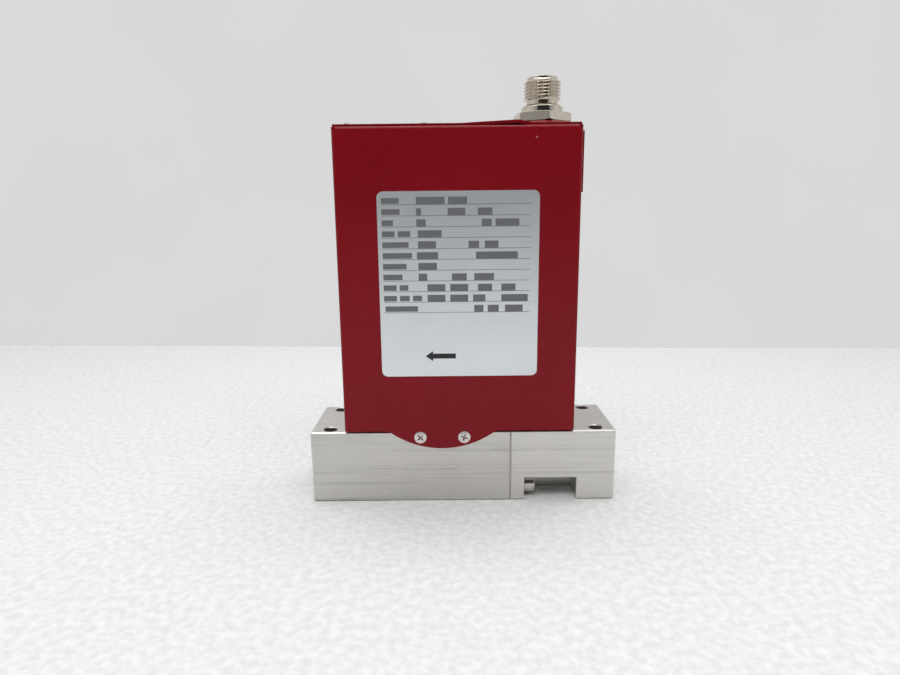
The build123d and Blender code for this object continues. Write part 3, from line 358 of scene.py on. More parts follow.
def milled_stainless(look):
    """Satin steel with milling lines along the block, darker streaks, short scratches, painted glints and
    painted shade on the blocks' sides.
    """
    made = Finish("milled_stainless", look.colour, look.roughness, metallic=1.0)
    fine = 1 / look.line_width
    slow = 1 / look.line_length
    facing = made.parts(made.facing)
    end_face = made.math("GREATER_THAN", made.math("ABSOLUTE", facing["X"]), 0.5)
    grain = made.add("ShaderNodeMix", {
        0: end_face, 4: made.scaled(made.place, (slow, fine, fine)),
        5: made.scaled(made.place, (fine, slow, fine))}, data_type="VECTOR").outputs[1]
    lines = made.noise(grain, 1.0, 3.0)
    streaks = made.ranged(made.noise(grain, 0.22), 0.50, 0.72, 0.0, 0.75)
    patches = made.ranged(made.noise(made.place, 70.0), 0.35, 0.65, 0.0, 0.35)
    # Painted highlight: glints along the milling lines, drawn as lighter steel
    painted_glints = made.ranged(lines, 0.35, 0.70, 0.0, 0.30)
    scratches = made.ranged(made.cells(made.scaled(grain, (1.4, 0.16, 0.16))), 0.06, 0.12, 0.5, 0.0)
    tone = made.mixed(streaks, made.base, (*look.streak_colour, 1.0))
    for pattern, lightness in ((patches, 1.12), (painted_glints, 1.25), (scratches, 1.5)):
        tone = made.mixed(pattern, tone, shaded(look.colour, lightness))
    # Painted shade: each face is darker as it turns away from up, so the sides are darker than the tops; the
    # inlet block's top also has its own tone
    inlet_shade_and_tone = made.ranged(facing["Z"], 0.4, 0.6, look.inlet_side, look.inlet_top)
    outlet_shade = made.ranged(facing["Z"], 0.4, 0.6, look.outlet_side, 1.0)
    inlet = made.math("GREATER_THAN", made.parts(made.place)["X"], look.seam_place)
    level = made.between(inlet, outlet_shade, inlet_shade_and_tone)
    tone = made.vector_math("MULTIPLY", tone, made.vector(X=level, Y=level, Z=level))
    made.set(Base_Color=tone, Roughness=made.uneven(lines, look.roughness + 0.05, look.roughness - 0.06))
    made.bump(lines, look.line_depth, look.edge_radius)
    return made.material


def red_powder_coat(look):
    """Deep red coat with a fine grain and a few small chips."""
    made = Finish("red_powder_coat", look.colour, look.roughness, specular=look.gloss)
    tone = made.mottled(made.uneven(made.noise(made.place, 45.0)), 0.94, 1.06)
    wobble = made.scaled(made.noise(made.place, 3500.0, 1.0), (look.chip_size,) * 3)
    chips = (  # place on the front along X and Z, and size against the largest
        (0.0236, 0.1218, 1.0), (0.0311, 0.1213, 0.45), (-0.0007, 0.1110, 0.4), (0.0048, 0.1168, 0.35),
        (-0.0371, 0.0402, 0.35))
    for x, z, size in chips:
        reach = look.chip_size * size
        gap = made.add("ShaderNodeVectorMath", {
            0: made.vector_math("ADD", made.place, wobble), 1: (x, cad_box[0].y, z)}, operation="DISTANCE")
        chip = made.ranged(gap.outputs["Value"], reach, reach * 1.5, 0.9, 0.0)
        tone = made.mixed(chip, tone, (*look.chip_colour, 1.0))
    grain = made.noise(made.place, 1 / look.grain_size)
    made.set(Base_Color=tone, Roughness=made.uneven(grain, look.roughness - 0.04, look.roughness + 0.05))
    made.bump(grain, look.grain_depth, look.edge_radius)
    return made.material


def silver_film(look):
    """Satin silver polyester film."""
    made = Finish("silver_film", look.colour, look.roughness, metallic=look.metallic)
    flakes = made.noise(made.place, 5200.0)
    made.set(Base_Color=made.mottled(made.uneven(made.noise(made.place, 60.0, 1.0)), 0.98, 1.02),
             Roughness=made.uneven(flakes, look.roughness - 0.03, look.roughness + 0.03))
    made.bump(flakes, 0.0000012, 0.00006)
    return made.material


def plain_print(name, base):
    """Dry ink with a slightly uneven coat."""
    made = Finish(name, base, 0.5)
    made.set(Base_Color=made.mottled(made.noise(made.place, 4000.0, 1.0), 0.85, 1.15))
    return made.material


def turned_metal(name, base, roughness, edge_radius=0.00008):
    """Turned or plated metal with faint rings about the upright."""
    made = Finish(name, base, roughness, metallic=1.0)
    rings = made.noise(made.scaled(made.place, (60.0, 60.0, 2500.0)))
    stains = made.ranged(made.noise(made.place, 420.0), 0.35, 0.7, 0.0, 0.5)
    made.set(Base_Color=made.mottled(stains, 1.0, 0.84),
             Roughness=made.uneven(rings, roughness - 0.04, roughness + 0.06))
    made.bump(rings, 0.0000008, edge_radius)
    return made.material


def milled_aluminium(name, base):
    """Pale milled aluminium with fine crossed lines."""
    made = Finish(name, base, 0.38, metallic=1.0)
    lines = made.noise(made.scaled(made.place, (40.0, 3200.0, 3200.0)))
    made.set(Base_Color=made.mottled(lines, 0.9, 1.08))
    made.bump(lines, 0.000002, 0.0001)
    return made.material


def moulded_plastic(name, base, roughness=0.45, speckle=0.06):
    """Moulded plastic with a fine spark-eroded grain."""
    made = Finish(name, base, roughness)
    grain = made.noise(made.place, 6500.0)
    patches = made.noise(made.place, 300.0, 1.0)
    made.set(Base_Color=made.mottled(patches, 1 - speckle, 1 + speckle),
             Roughness=made.uneven(grain, roughness - 0.05, roughness + 0.08))
    made.bump(grain, 0.000003, 0.00006)
    return made.material


def milky_light_pipe(name, base):
    """Clear plastic that looks milky in daylight."""
    made = Finish(name, base, 0.18)
    cloud = made.noise(made.place, 900.0)
    made.set(Base_Color=made.mottled(cloud, 0.9, 1.1), Transmission_Weight=0.35)
    made.bump(cloud, 0.000004, 0.00008)
    return made.material


def enamelled_winding(name, base):
    """Fine enamelled wire laid side by side along X, with painted shade between the turns and painted
    highlights on their crowns.
    """
    made = Finish(name, base, 0.3, metallic=0.6)
    along = made.scaled(made.place, (5200.0, 0.0, 0.0))
    turns = made.add("ShaderNodeTexWave", {"Vector": along, "Scale": 1.0}, bands_direction="X").outputs["Fac"]
    # Painted shade in the grooves between the turns and painted highlight on their crowns
    made.set(Base_Color=made.mottled(turns, 0.55, 1.2))
    made.bump(turns, 0.00002)
    return made.material


def solder_mask(name, base):
    """Green solder mask over copper tracks."""
    made = Finish(name, base, 0.28)
    upright = made.add("ShaderNodeMapping", {"Vector": made.place, "Rotation": (QUARTER_TURN, 0.0, 0.0)})
    tracks = made.add("ShaderNodeTexBrick", {
        "Vector": upright.outputs[0], "Color1": made.base, "Color2": shaded(base, 1.25),
        "Mortar": shaded(base, 1.9), "Scale": 160.0, "Mortar Size": 0.035}).outputs
    made.set(Base_Color=tracks["Color"])
    made.bump(tracks["Fac"], 0.00002, 0.00006)
    return made.material


# Pieces

def linked(name, data):
    """New object at the origin, unturned and unscaled."""
    made = bpy.data.objects.new(name, data)
    bpy.context.scene.collection.objects.link(made)
    return made


def dressed(piece, slot_name, *nodes):
    """Ties a finished piece to the base body and hides the nodes that it stands for. The slot name is not
    used.
    """
    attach(piece, BODY)
    if nodes:
        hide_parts(*nodes)


def paint(slot_name, material):
    """Gives every node of a slot its finish."""
    for part in frame["record"]["subparts"]:
        if part["material_slot"] == slot_name:
            materials = frame["nodes"][part["node"]].data.materials
            materials.clear()
            materials.append(material)


def smoothed(mesh, degrees=32.0):
    """Smooth shading with sharp edges kept."""
    mesh.shade_smooth()
    mesh.set_sharp_from_angle(angle=math.radians(degrees))
    return mesh


def baked(carrier):
    """The mesh that an object's modifiers make. The object itself is removed."""
    bpy.context.view_layer.update()
    evaluated = carrier.evaluated_get(bpy.context.evaluated_depsgraph_get())
    mesh = bpy.data.meshes.new_from_object(evaluated)
    bpy.data.objects.remove(carrier)
    return mesh


def poured(name, work, *materials):
    """A mesh of what a bmesh holds. The bmesh is freed."""
    mesh = bpy.data.meshes.new(name)
    work.to_mesh(mesh)
    work.free()
    for material in materials:
        mesh.materials.append(material)
    return mesh


def evenly_lit(mesh):
    """Normals weighted by the faces' area, so that flat panels beside small bends look flat."""
    carrier = linked("evenly_lit", mesh)
    carrier.modifiers.new("Even", "WEIGHTED_NORMAL").keep_sharp = True
    return baked(carrier)


def eased(profile, ease):
    """A profile with each inner corner rounded by two cuts."""
    points = [profile[0]]
    for before, corner, after in zip(profile, profile[1:], profile[2:]):
        here = Vector(corner)
        to_before = Vector(before) - here
        to_after = Vector(after) - here
        reach = min(ease, to_before.length / 3, to_after.length / 3)
        first = here + to_before.normalized() * reach
        last = here + to_after.normalized() * reach
        points += [tuple(first), tuple((first + here * 2 + last) / 4), tuple(last)]
    return points + [profile[-1]]


def walled(work, low, high):
    """Faces between two rings of vertices."""
    for index in range(len(low)):
        after = (index + 1) % len(low)
        work.faces.new((low[index], low[after], high[after], high[index]))


def turned(name, rows, columns, start=0.0, closed=False):
    """Mesh swept about the Z axis. A row is a (radius, height) pair or a function of the angle."""
    work = bmesh.new()
    grid = []
    for row in rows:
        ring = []
        for step in range(columns):
            turn = start + FULL_TURN * step / columns
            radius, height = row(turn) if callable(row) else row
            ring.append(work.verts.new((radius * math.cos(turn), radius * math.sin(turn), height)))
        grid.append(ring)
    for low, high in zip(grid, grid[1:] + grid[:1] if closed else grid[1:]):
        walled(work, low, high)
    bmesh.ops.remove_doubles(work, verts=work.verts, dist=WELD)
    bmesh.ops.recalc_face_normals(work, faces=work.faces)
    return poured(name, work)


def prism(name, outline, low, high):
    """Closed upright prism over an outline of (x, y) points."""
    work = bmesh.new()
    floor, roof = ([work.verts.new((x, y, z)) for x, y in outline] for z in (low, high))
    work.faces.new(floor)
    work.faces.new(roof)
    walled(work, floor, roof)
    bmesh.ops.recalc_face_normals(work, faces=work.faces)
    return poured(name, work)


def cut(mesh, *cutters):
    """The mesh with each cutter's shape taken away."""
    body = linked("cut_body", mesh)
    tools = [linked(f"cut_tool_{index}", cutter) for index, cutter in enumerate(cutters)]
    for tool in tools:
        modifier = body.modifiers.new("Cut", "BOOLEAN")
        modifier.operation = "DIFFERENCE"
        modifier.solver = "EXACT"
        modifier.object = tool
    result = baked(body)
    for tool in tools:
        bpy.data.objects.remove(tool)
    return result


class Recipe(NodeMaker):
    """Geometry Nodes tree with named inputs, ending in Realize Instances and Set Material."""

    def __init__(self, name, **inputs):
        super().__init__(bpy.data.node_groups.new(name, "GeometryNodeTree"))
        for label, kind in {"Geometry": "Geometry", **inputs, "Material": "Material"}.items():
            self.socket(label.replace("_", " "), "INPUT", kind)
        self.socket("Geometry", "OUTPUT", "Geometry")
        self.given = self.add("NodeGroupInput").outputs

    def socket(self, label, side, kind):
        self.tree.interface.new_socket(label, in_out=side, socket_type="NodeSocket" + kind)

    def finish(self, geometry):
        whole = self.add("GeometryNodeRealizeInstances", {"Geometry": geometry}).outputs[0]
        painted = self.add("GeometryNodeSetMaterial", {"Geometry": whole, "Material": self.given["Material"]})
        self.add("NodeGroupOutput", {"Geometry": painted.outputs[0]})
        return self

    def line(self, count, first, step):
        """Points in a row."""
        inputs = {"Count": count, "Start Location": first, "Offset": step}
        return self.add("GeometryNodeMeshLine", inputs).outputs[0]

    def copies(self, points, piece, **settings):
        """The piece on each point."""
        inputs = {"Points": points, "Instance": piece, **settings}
        return self.add("GeometryNodeInstanceOnPoints", inputs).outputs[0]

    def grow(self, name, mesh=None, **values):
        """Plain mesh that the tree makes from a starting mesh and its named inputs."""
        carrier = linked(name, mesh or bpy.data.meshes.new(name))
        modifier = carrier.modifiers.new("Recipe", "NODES")
        modifier.node_group = self.tree
        for item in self.tree.interface.items_tree:
            key = item.name.replace(" ", "_")
            if item.in_out == "INPUT" and key in values:
                modifier[item.identifier] = values[key]
        return baked(carrier)


def thread_recipe():
    """Cuts a helical thread into the outer wall of a turned mesh."""
    tree = Recipe("connector_thread", Low="Float", High="Float", Radius="Float", Pitch="Float", Depth="Float",
                  Runout="Float")
    given = tree.given
    x, y, z = tree.parts(tree.add("GeometryNodeInputPosition").outputs[0])
    square = tree.math("ADD", tree.math("MULTIPLY", x, x), tree.math("MULTIPLY", y, y))
    radius = tree.math("SQRT", square)
    turn = tree.math("DIVIDE", tree.math("ARCTAN2", y, x), FULL_TURN)
    above = tree.math("SUBTRACT", z, given["Low"])
    below = tree.math("SUBTRACT", given["High"], z)
    rise = tree.math("DIVIDE", above, given["Pitch"])
    phase = tree.math("FRACT", tree.math("SUBTRACT", rise, turn))
    away = tree.math("MULTIPLY", tree.math("ABSOLUTE", tree.math("SUBTRACT", phase, 0.5)), 2.0)
    groove = tree.ranged(away, 0.18, 0.80)
    ends = tree.math("MINIMUM", above, below)
    fade = tree.ranged(tree.math("DIVIDE", ends, given["Runout"]), 0.0, 1.0)
    depth = tree.math("MULTIPLY", tree.math("MULTIPLY", groove, fade), given["Depth"])
    shrink = tree.math("DIVIDE", tree.math("MULTIPLY", depth, -1.0), radius)
    offset = tree.vector(X=tree.math("MULTIPLY", x, shrink), Y=tree.math("MULTIPLY", y, shrink))
    off_wall = tree.math("ABSOLUTE", tree.math("SUBTRACT", radius, given["Radius"]))
    on_wall = tree.math("LESS_THAN", off_wall, 0.0001)
    chosen = tree.math("MULTIPLY", on_wall, tree.math("GREATER_THAN", ends, 0.0))
    moved = tree.add("GeometryNodeSetPosition", {
        "Geometry": given["Geometry"], "Selection": chosen, "Offset": offset}).outputs[0]
    return tree.finish(moved)


def pattern_recipe():
    """Copies of one piece along a line, each turned a little more than the last."""
    tree = Recipe("screw_pattern", First="Vector", Count="Int", Step="Vector", Facing="Rotation",
                  Turn="Float", Turn_step="Float")
    given = tree.given
    index = tree.add("GeometryNodeInputIndex").outputs[0]
    spin = tree.math("ADD", given["Turn"], tree.math("MULTIPLY", index, given["Turn step"]))
    spun = tree.add("FunctionNodeEulerToRotation", {0: tree.vector(Z=spin)}).outputs[0]
    turned_to = tree.add("FunctionNodeRotateRotation", {0: spun, 1: given["Facing"]},
                         rotation_space="GLOBAL").outputs[0]
    places = tree.line(given["Count"], given["First"], given["Step"])
    return tree.finish(tree.copies(places, given["Geometry"], Rotation=turned_to))


def rule_recipe():
    """Ruled lines, one under another, as thin bars of ink."""
    tree = Recipe("ruled_lines", First="Vector", Rules="Int", Pitch="Float", Length="Float", Width="Float",
                  Height="Float")
    given = tree.given
    down = tree.vector(Z=tree.math("MULTIPLY", given["Pitch"], -1.0))
    size = tree.vector(X=given["Length"], Y=given["Height"], Z=given["Width"])
    bar = tree.add("GeometryNodeMeshCube", {"Size": size}).outputs[0]
    return tree.finish(tree.copies(tree.line(given["Rules"], given["First"], down), bar))


def field_recipe():
    """Plain bars of ink on the points of a mesh, each as long as its point's attribute says."""
    tree = Recipe("print_fields", Height="Float")
    given = tree.given
    size = tree.add("GeometryNodeInputNamedAttribute", {"Name": "field_size"}, data_type="FLOAT_VECTOR")
    scale = tree.vector_math("ADD", size.outputs[0], tree.vector(Y=given["Height"]))
    bar = tree.add("GeometryNodeMeshCube").outputs[0]
    return tree.finish(tree.copies(given["Geometry"], bar, Scale=scale))


def joined(name, *meshes):
    """One piece of several meshes, their materials kept."""
    work = bmesh.new()
    materials = []
    for mesh in meshes:
        known = len(work.faces)
        work.from_mesh(mesh)
        work.faces.ensure_lookup_table()
        for face in work.faces[known:]:
            face.material_index += len(materials)
        materials += mesh.materials
    return linked(name, poured(name, work, *materials))


# Operators, one for each group of pieces

class FLOW_OT_finish_blocks(bpy.types.Operator):
    """Give the two base blocks their milled steel"""

    bl_idname = "flow.finish_blocks"
    bl_label = "Base Blocks"

    def execute(self, context):
        paint("stainless_block", milled_stainless(context.scene.flow_steel))
        return {"FINISHED"}


class FLOW_OT_finish_covers(bpy.types.Operator):
    """Give the covers their powder coat and spring the rear cover's front edge up"""

    bl_idname = "flow.finish_covers"
    bl_label = "Covers"

    def execute(self, context):
        look = context.scene.flow_cover
        paint("red_cover", red_powder_coat(look))
        piece = linked("rear_cover_sprung", evenly_lit(smoothed(self.sprung(look))))
        dressed(piece, "red_cover", "rear_cover")
        return {"FINISHED"}

    def sprung(self, look):
        """The rear cover with the front edge of its top sheet sprung up, and its tab close to the flange."""
        source = frame["nodes"]["rear_cover"]
        flange_x, _, lip_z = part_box("front_cover")[1]
        shell_low, shell_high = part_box("connector_shell")
        axis_x = (shell_low.x + shell_high.x) / 2
        work = bmesh.new()
        work.from_mesh(source.data)
        work.transform(source.matrix_world)
        bmesh.ops.remove_doubles(work, verts=work.verts, dist=WELD)
        for x in (look.lift_start, look.lift_peak, look.lift_end):
            everything = work.verts[:] + work.edges[:] + work.faces[:]
            bmesh.ops.bisect_plane(work, geom=everything, plane_co=(x, 0.0, 0.0), plane_no=(1.0, 0.0, 0.0))
        sheet = [vert for vert in work.verts
                 if vert.co.z > lip_z - HAIR and vert.co.y < look.lift_root
                 and look.lift_start - HAIR < vert.co.x < look.lift_end + HAIR]
        front_y = min(vert.co.y for vert in sheet)
        for vert in sheet:
            if math.hypot(vert.co.x - axis_x, vert.co.y) > SEAT_RADIUS:
                face_z = lip_z if vert.co.z < lip_z + 0.75 * SHEET else lip_z + SHEET
                share_of_lift = (look.lift_root - vert.co.y) / (look.lift_root - front_y)
                vert.co.z = face_z + self.lift(look, vert.co.x) * share_of_lift
        tab_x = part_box("rear_cover")[1].x - SHEET
        for vert in work.verts:
            if vert.co.x > tab_x - 10 * HAIR:
                outward = (vert.co.x - tab_x) / SHEET
                vert.co.x = flange_x + look.tab_gap + outward * look.tab_thickness
        return poured("rear_cover_sprung", work, source.data.materials[0])

    def lift(self, look, x):
        """Height of the top sheet's front edge over the lip: straight up to the peak, then down."""
        foot = look.lift_start if x < look.lift_peak else look.lift_end
        return look.lift_height * max(0.0, (x - foot) / (look.lift_peak - foot))


class FLOW_OT_print_label(bpy.types.Operator):
    """Print the label with ruled lines, plain fields and an arrow"""

    bl_idname = "flow.print_label"
    bl_label = "Label"

    def execute(self, context):
        look = context.scene.flow_label
        paint("label_film", silver_film(look))
        black = plain_print("black_print", look.print_colour)
        grey = plain_print("grey_print", look.field_colour)
        blue_grey = plain_print("rule_print", look.rule_colour)
        low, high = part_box("rating_label")
        ink_y = low.y - look.print_height / 2
        rule_low = low.x + look.rule_margin
        rule_high = high.x - look.rule_end_margin
        rules = rule_recipe().grow(
            "rules", First=((rule_low + rule_high) / 2, ink_y, high.z - look.first_rule),
            Rules=look.rule_count, Pitch=look.rule_pitch, Length=rule_high - rule_low,
            Width=look.rule_width, Height=look.print_height, Material=blue_grey)
        fields = self.fields(look, low, high, ink_y, grey)
        arrow = self.arrow(look, low, ink_y, black)
        dressed(joined("label_print", rules, fields, arrow), "label_film")
        return {"FINISHED"}

    def fields(self, look, low, high, ink_y, material):
        """Plain bars in place of the table's captions and entries."""
        rows = (  # start and end of each bar, in millimetres from the film's left edge
            ((1.4, 7.0), (12.4, 21.5), (22.6, 28.6)),
            ((1.4, 7.2), (12.4, 14.0), (22.4, 28.0), (32.0, 36.6)),
            ((1.4, 5.0), (12.4, 15.4), (33.2, 36.4), (37.6, 45.2)),
            ((1.4, 5.4), (6.4, 10.4), (12.8, 20.4)),
            ((1.4, 9.8), (12.8, 18.6), (29.0, 32.4), (34.2, 38.6)),
            ((1.4, 10.8), (12.4, 19.2), (31.4, 44.8)),
            ((1.4, 9.0), (12.8, 18.8)),
            ((1.4, 7.6), (12.8, 15.6), (23.6, 28.4), (30.8, 37.2)),
            ((1.4, 5.6), (6.6, 9.4), (15.6, 21.4), (23.0, 28.8), (32.0, 36.6), (39.6, 44.2)),
            ((1.4, 5.6), (6.6, 9.8), (10.8, 13.8), (15.6, 21.4), (23.0, 28.8), (30.4, 34.4), (39.6, 48.2)),
            ((1.8, 12.4), (30.8, 33.8), (35.2, 38.8), (40.8, 46.6)),
        )
        places = []
        sizes = []
        for row, bars in enumerate(rows):
            z = high.z - look.first_rule - row * look.rule_pitch + look.field_rise
            for start, end in bars:
                is_entry = start / 1000 > look.caption_width
                height = look.entry_height if is_entry else look.caption_height
                places.append((low.x + (start + end) / 2000, ink_y, z))
                sizes.append(((end - start) / 1000, 0.0, height))
        mesh = bpy.data.meshes.new("field_places")
        mesh.from_pydata(places, [], [])
        attribute = mesh.attributes.new("field_size", "FLOAT_VECTOR", "POINT")
        for item, size in zip(attribute.data, sizes):
            item.vector = size
        return field_recipe().grow("fields", mesh, Height=look.print_height, Material=material)

    def arrow(self, look, low, ink_y, material):
        """Flow arrow, pointing to the outlet."""
        tip = (low.x + look.arrow_side, ink_y, low.z + look.arrow_rise)
        head = look.arrow_length / 4
        half = look.arrow_height / 2
        shaft = half / 2
        outline = ((0.0, 0.0), (head, -half), (head, -shaft), (look.arrow_length, -shaft),
                   (look.arrow_length, shaft), (head, shaft), (head, half))
        mesh = prism("arrow", outline, -look.print_height / 2, look.print_height / 2)
        mesh.transform(Matrix.Translation(tip) @ Matrix.Rotation(QUARTER_TURN, 4, "X"))
        mesh.materials.append(material)
        return mesh


class FLOW_OT_turn_connector(bpy.types.Operator):
    """Turn the connector's shell with its hexagon and real thread"""

    bl_idname = "flow.turn_connector"
    bl_label = "Network Connector"

    def execute(self, context):
        look = context.scene.flow_connector
        nickel = turned_metal("nickel_plating", look.colour, look.roughness)
        paint("nickel_plate", nickel)
        paint("contact_carrier", moulded_plastic("contact_carrier", (0.02, 0.02, 0.021), 0.42))
        paint("gold_contact", turned_metal("gold_plating", (0.83, 0.58, 0.22), 0.2))
        low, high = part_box("connector_shell")
        rows = self.rows(look, low, high)
        shell = turned("connector_shell_threaded", rows, 144, look.hex_turn, closed=True)
        thread_low, thread_high = self.thread_ends(look, high)
        shell = thread_recipe().grow(
            "thread", shell, Low=thread_low, High=thread_high, Radius=look.thread_radius,
            Pitch=look.thread_pitch, Depth=look.thread_depth, Runout=look.thread_runout, Material=nickel)
        shell.transform(Matrix.Translation(((low.x + high.x) / 2, (low.y + high.y) / 2, 0.0)))
        piece = linked("connector_shell_threaded", smoothed(shell, 28.0))
        dressed(piece, "nickel_plate", "connector_shell")
        return {"FINISHED"}

    def thread_ends(self, look, high):
        """Heights of the thread's foot and top."""
        thread_high = high.z - look.rim_drop - look.rim_height - look.rim_slope
        return thread_high - look.thread_height, thread_high

    def rows(self, look, low, high):
        """Rings of the shell, from the shank's foot up the outside and down the bore."""
        thread_low, thread_high = self.thread_ends(look, high)
        neck_low = thread_low - look.neck_height
        shoulder_low = neck_low - look.shoulder_height
        collar_low = shoulder_low - look.collar_height
        hex_low = collar_low - look.hex_height
        rim_low = thread_high + look.rim_slope
        rim_high = rim_low + look.rim_height
        apothem = look.across_flats / 2
        corner = apothem * HEX_CORNER
        face_radius = corner - 2 * look.hex_bevel

        def hex_radius(turn):
            within = (turn - look.hex_turn) % (math.pi / 3)
            return apothem / math.cos(within - math.pi / 6)

        def bevel_ring(face_z, inward):
            """Where the bevel of the corners meets the six flats."""
            def ring(turn):
                radius = hex_radius(turn)
                return radius, face_z + inward * max(0.0, radius - face_radius) / 2
            return ring

        def face_ring(face_z):
            return lambda turn: (min(hex_radius(turn), face_radius), face_z)

        seal_low, seal_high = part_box("connector_gasket")
        seal_radius = (seal_high.x - seal_low.x) / 2
        groove_out = seal_radius + look.seal_gap
        groove_in = seal_radius - look.seal_width - look.seal_gap
        groove_top = seal_high.z + look.seal_gap
        foot = [(look.shank_radius, low.z), (look.shank_radius, hex_low), (groove_in, hex_low),
                (groove_in, groove_top), (groove_out, groove_top), (groove_out, hex_low)]
        flange = [face_ring(hex_low), bevel_ring(hex_low, 1.0), bevel_ring(collar_low, -1.0),
                  face_ring(collar_low)]
        collar = eased([
            (look.collar_radius - 2 * look.ease, collar_low), (look.collar_radius, collar_low),
            (look.collar_radius, shoulder_low), (look.shoulder_radius, neck_low),
            (look.neck_radius, neck_low), (look.neck_radius, thread_low),
            (look.thread_radius, thread_low)], look.ease)
        steps = int(look.thread_height / look.thread_pitch * 12)
        thread = [(look.thread_radius, thread_low + look.thread_height * step / steps)
                  for step in range(1, steps)]
        nose = eased([
            (look.thread_radius, thread_high), (look.rim_radius, rim_low), (look.rim_radius, rim_high),
            (look.bore_radius, rim_high), (look.bore_radius, low.z + look.ease)], look.ease)
        return foot + flange + collar + thread + nose + [(look.bore_radius, low.z)]


class FLOW_OT_cut_screws(bpy.types.Operator):
    """Make the cover screws with cross recesses and the block screws with sockets"""

    bl_idname = "flow.cut_screws"
    bl_label = "Screws"

    def execute(self, context):
        look = context.scene.flow_screw
        zinc = turned_metal("plated_screw", look.colour, look.roughness, edge_radius=0.00005)
        steel = turned_metal("screw_steel", (0.62, 0.59, 0.54), 0.22)
        paint("zinc_screw", zinc)
        paint("screw_steel", steel)
        pattern = pattern_recipe()
        self.cover_screws(look, pattern, zinc)
        self.block_screws(look, pattern, steel)
        return {"FINISHED"}

    def cover_screws(self, look, pattern, material):
        """Two flat heads in each tongue."""
        low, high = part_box("cover_screws")
        radius = (high.z - low.z) / 2
        shank = radius * 0.48
        depth = look.shank_length
        rows = [(0.0, -depth), (shank, -depth), (shank, shank - radius), (radius, -look.rim_height),
                (radius, 0.0), (radius * 0.75, look.dome * 0.5), (radius * 0.4, look.dome * 0.9),
                (0.0, look.dome)]
        half = look.cross_length / 2
        flank, flank_z = half * 0.72, -look.cross_depth * 0.6
        outline = ((-half, look.dome * 2), (half, look.dome * 2), (flank, flank_z), (0.0, -look.cross_depth),
                   (-flank, flank_z))
        arms = []
        for turn in (0.0, QUARTER_TURN):
            arm = prism("cross_arm", outline, -look.cross_width / 2, look.cross_width / 2)
            arm.transform(Matrix.Rotation(turn, 4, "Z") @ Matrix.Rotation(QUARTER_TURN, 4, "X"))
            arms.append(arm)
        head = smoothed(cut(turned("cross_screw", rows, 48), *arms), 30.0)
        spacing = high.x - low.x - 2 * radius
        middle_z = (low.z + high.z) / 2
        sides = (  # place of the first, step to the next, way that the tongue faces, first turn
            ("front_screws", (low.x + radius, low.y, middle_z), spacing, 0.0, look.first_turn),
            ("rear_screws", (high.x - radius, high.y, middle_z), -spacing, math.pi, look.first_turn / 2),
        )
        pairs = []
        for name, first, step, way, turn in sides:
            pairs.append(pattern.grow(
                name, head, First=first, Count=2, Step=(step, 0.0, 0.0),
                Facing=Euler((QUARTER_TURN, 0.0, way)), Turn=turn, Turn_step=look.next_turn,
                Material=material))
        dressed(joined("cross_recess_screws", *pairs), "zinc_screw", "cover_screws")

    def block_screws(self, look, pattern, material):
        """Four socket head screws along X, their heads in the pockets and slots of the inlet block."""
        low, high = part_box("block_screws")
        radius = look.socket_head_radius
        head = look.socket_head_height
        shank_radius = look.socket_shank_radius
        corner = look.socket_across_flats / 2 * HEX_CORNER
        outline = [(corner * math.cos(FULL_TURN * step / 6), corner * math.sin(FULL_TURN * step / 6))
                   for step in range(6)]
        levels = ((high.x - low.x - head, low.z + radius), (look.upper_shank_length, high.z - radius))
        rows = []
        for shank, z in levels:
            profile = eased([
                (shank_radius, -shank), (shank_radius, 0.0), (radius, 0.0), (radius, head), (0.0, head)],
                look.socket_ease)
            screw = turned("socket_screw", [(0.0, -shank)] + profile, 60)
            socket = prism("socket", outline, head / 2, head * 1.2)
            screw = smoothed(cut(screw, socket), 30.0)
            rows.append(pattern.grow(
                "block_screw_row", screw, First=(high.x - head, low.y + radius, z), Count=2,
                Step=(0.0, high.y - low.y - 2 * radius, 0.0), Facing=Euler((0.0, QUARTER_TURN, 0.0)),
                Turn=look.socket_turn, Turn_step=look.socket_next_turn, Material=material))
        dressed(joined("socket_head_screws", *rows), "screw_steel", "block_screws")


class FLOW_OT_finish_controls(bpy.types.Operator):
    """Finish the dials, the button and the light pipes"""

    bl_idname = "flow.finish_controls"
    bl_label = "Controls"

    def execute(self, context):
        paint("switch_body", moulded_plastic("switch_body", (0.035, 0.035, 0.04)))
        paint("dial_white", moulded_plastic("dial_white", (0.72, 0.71, 0.67), 0.4, 0.02))
        paint("button_grey", moulded_plastic("button_grey", (0.42, 0.36, 0.36), 0.4, 0.03))
        paint("light_pipe", milky_light_pipe("light_pipe", (0.70, 0.62, 0.62)))
        return {"FINISHED"}


class FLOW_OT_finish_inside(bpy.types.Operator):
    """Finish the gas path, the sensor, the valve and the boards"""

    bl_idname = "flow.finish_inside"
    bl_label = "Inside"

    def execute(self, context):
        paint("sensor_steel", turned_metal("plain_stainless", (0.58, 0.57, 0.55), 0.3))
        paint("seal_rubber", moulded_plastic("seal_rubber", (0.02, 0.02, 0.02), 0.7))
        paint("sensor_aluminium", milled_aluminium("milled_aluminium", (0.68, 0.69, 0.70)))
        paint("winding_enamel", enamelled_winding("winding_enamel", (0.42, 0.15, 0.04)))
        paint("piezo_ceramic", moulded_plastic("piezo_ceramic", (0.50, 0.45, 0.33), 0.35))
        paint("circuit_board", solder_mask("circuit_board", (0.012, 0.11, 0.05)))
        paint("chip_black", moulded_plastic("chip_black", (0.018, 0.018, 0.02), 0.55))
        return {"FINISHED"}


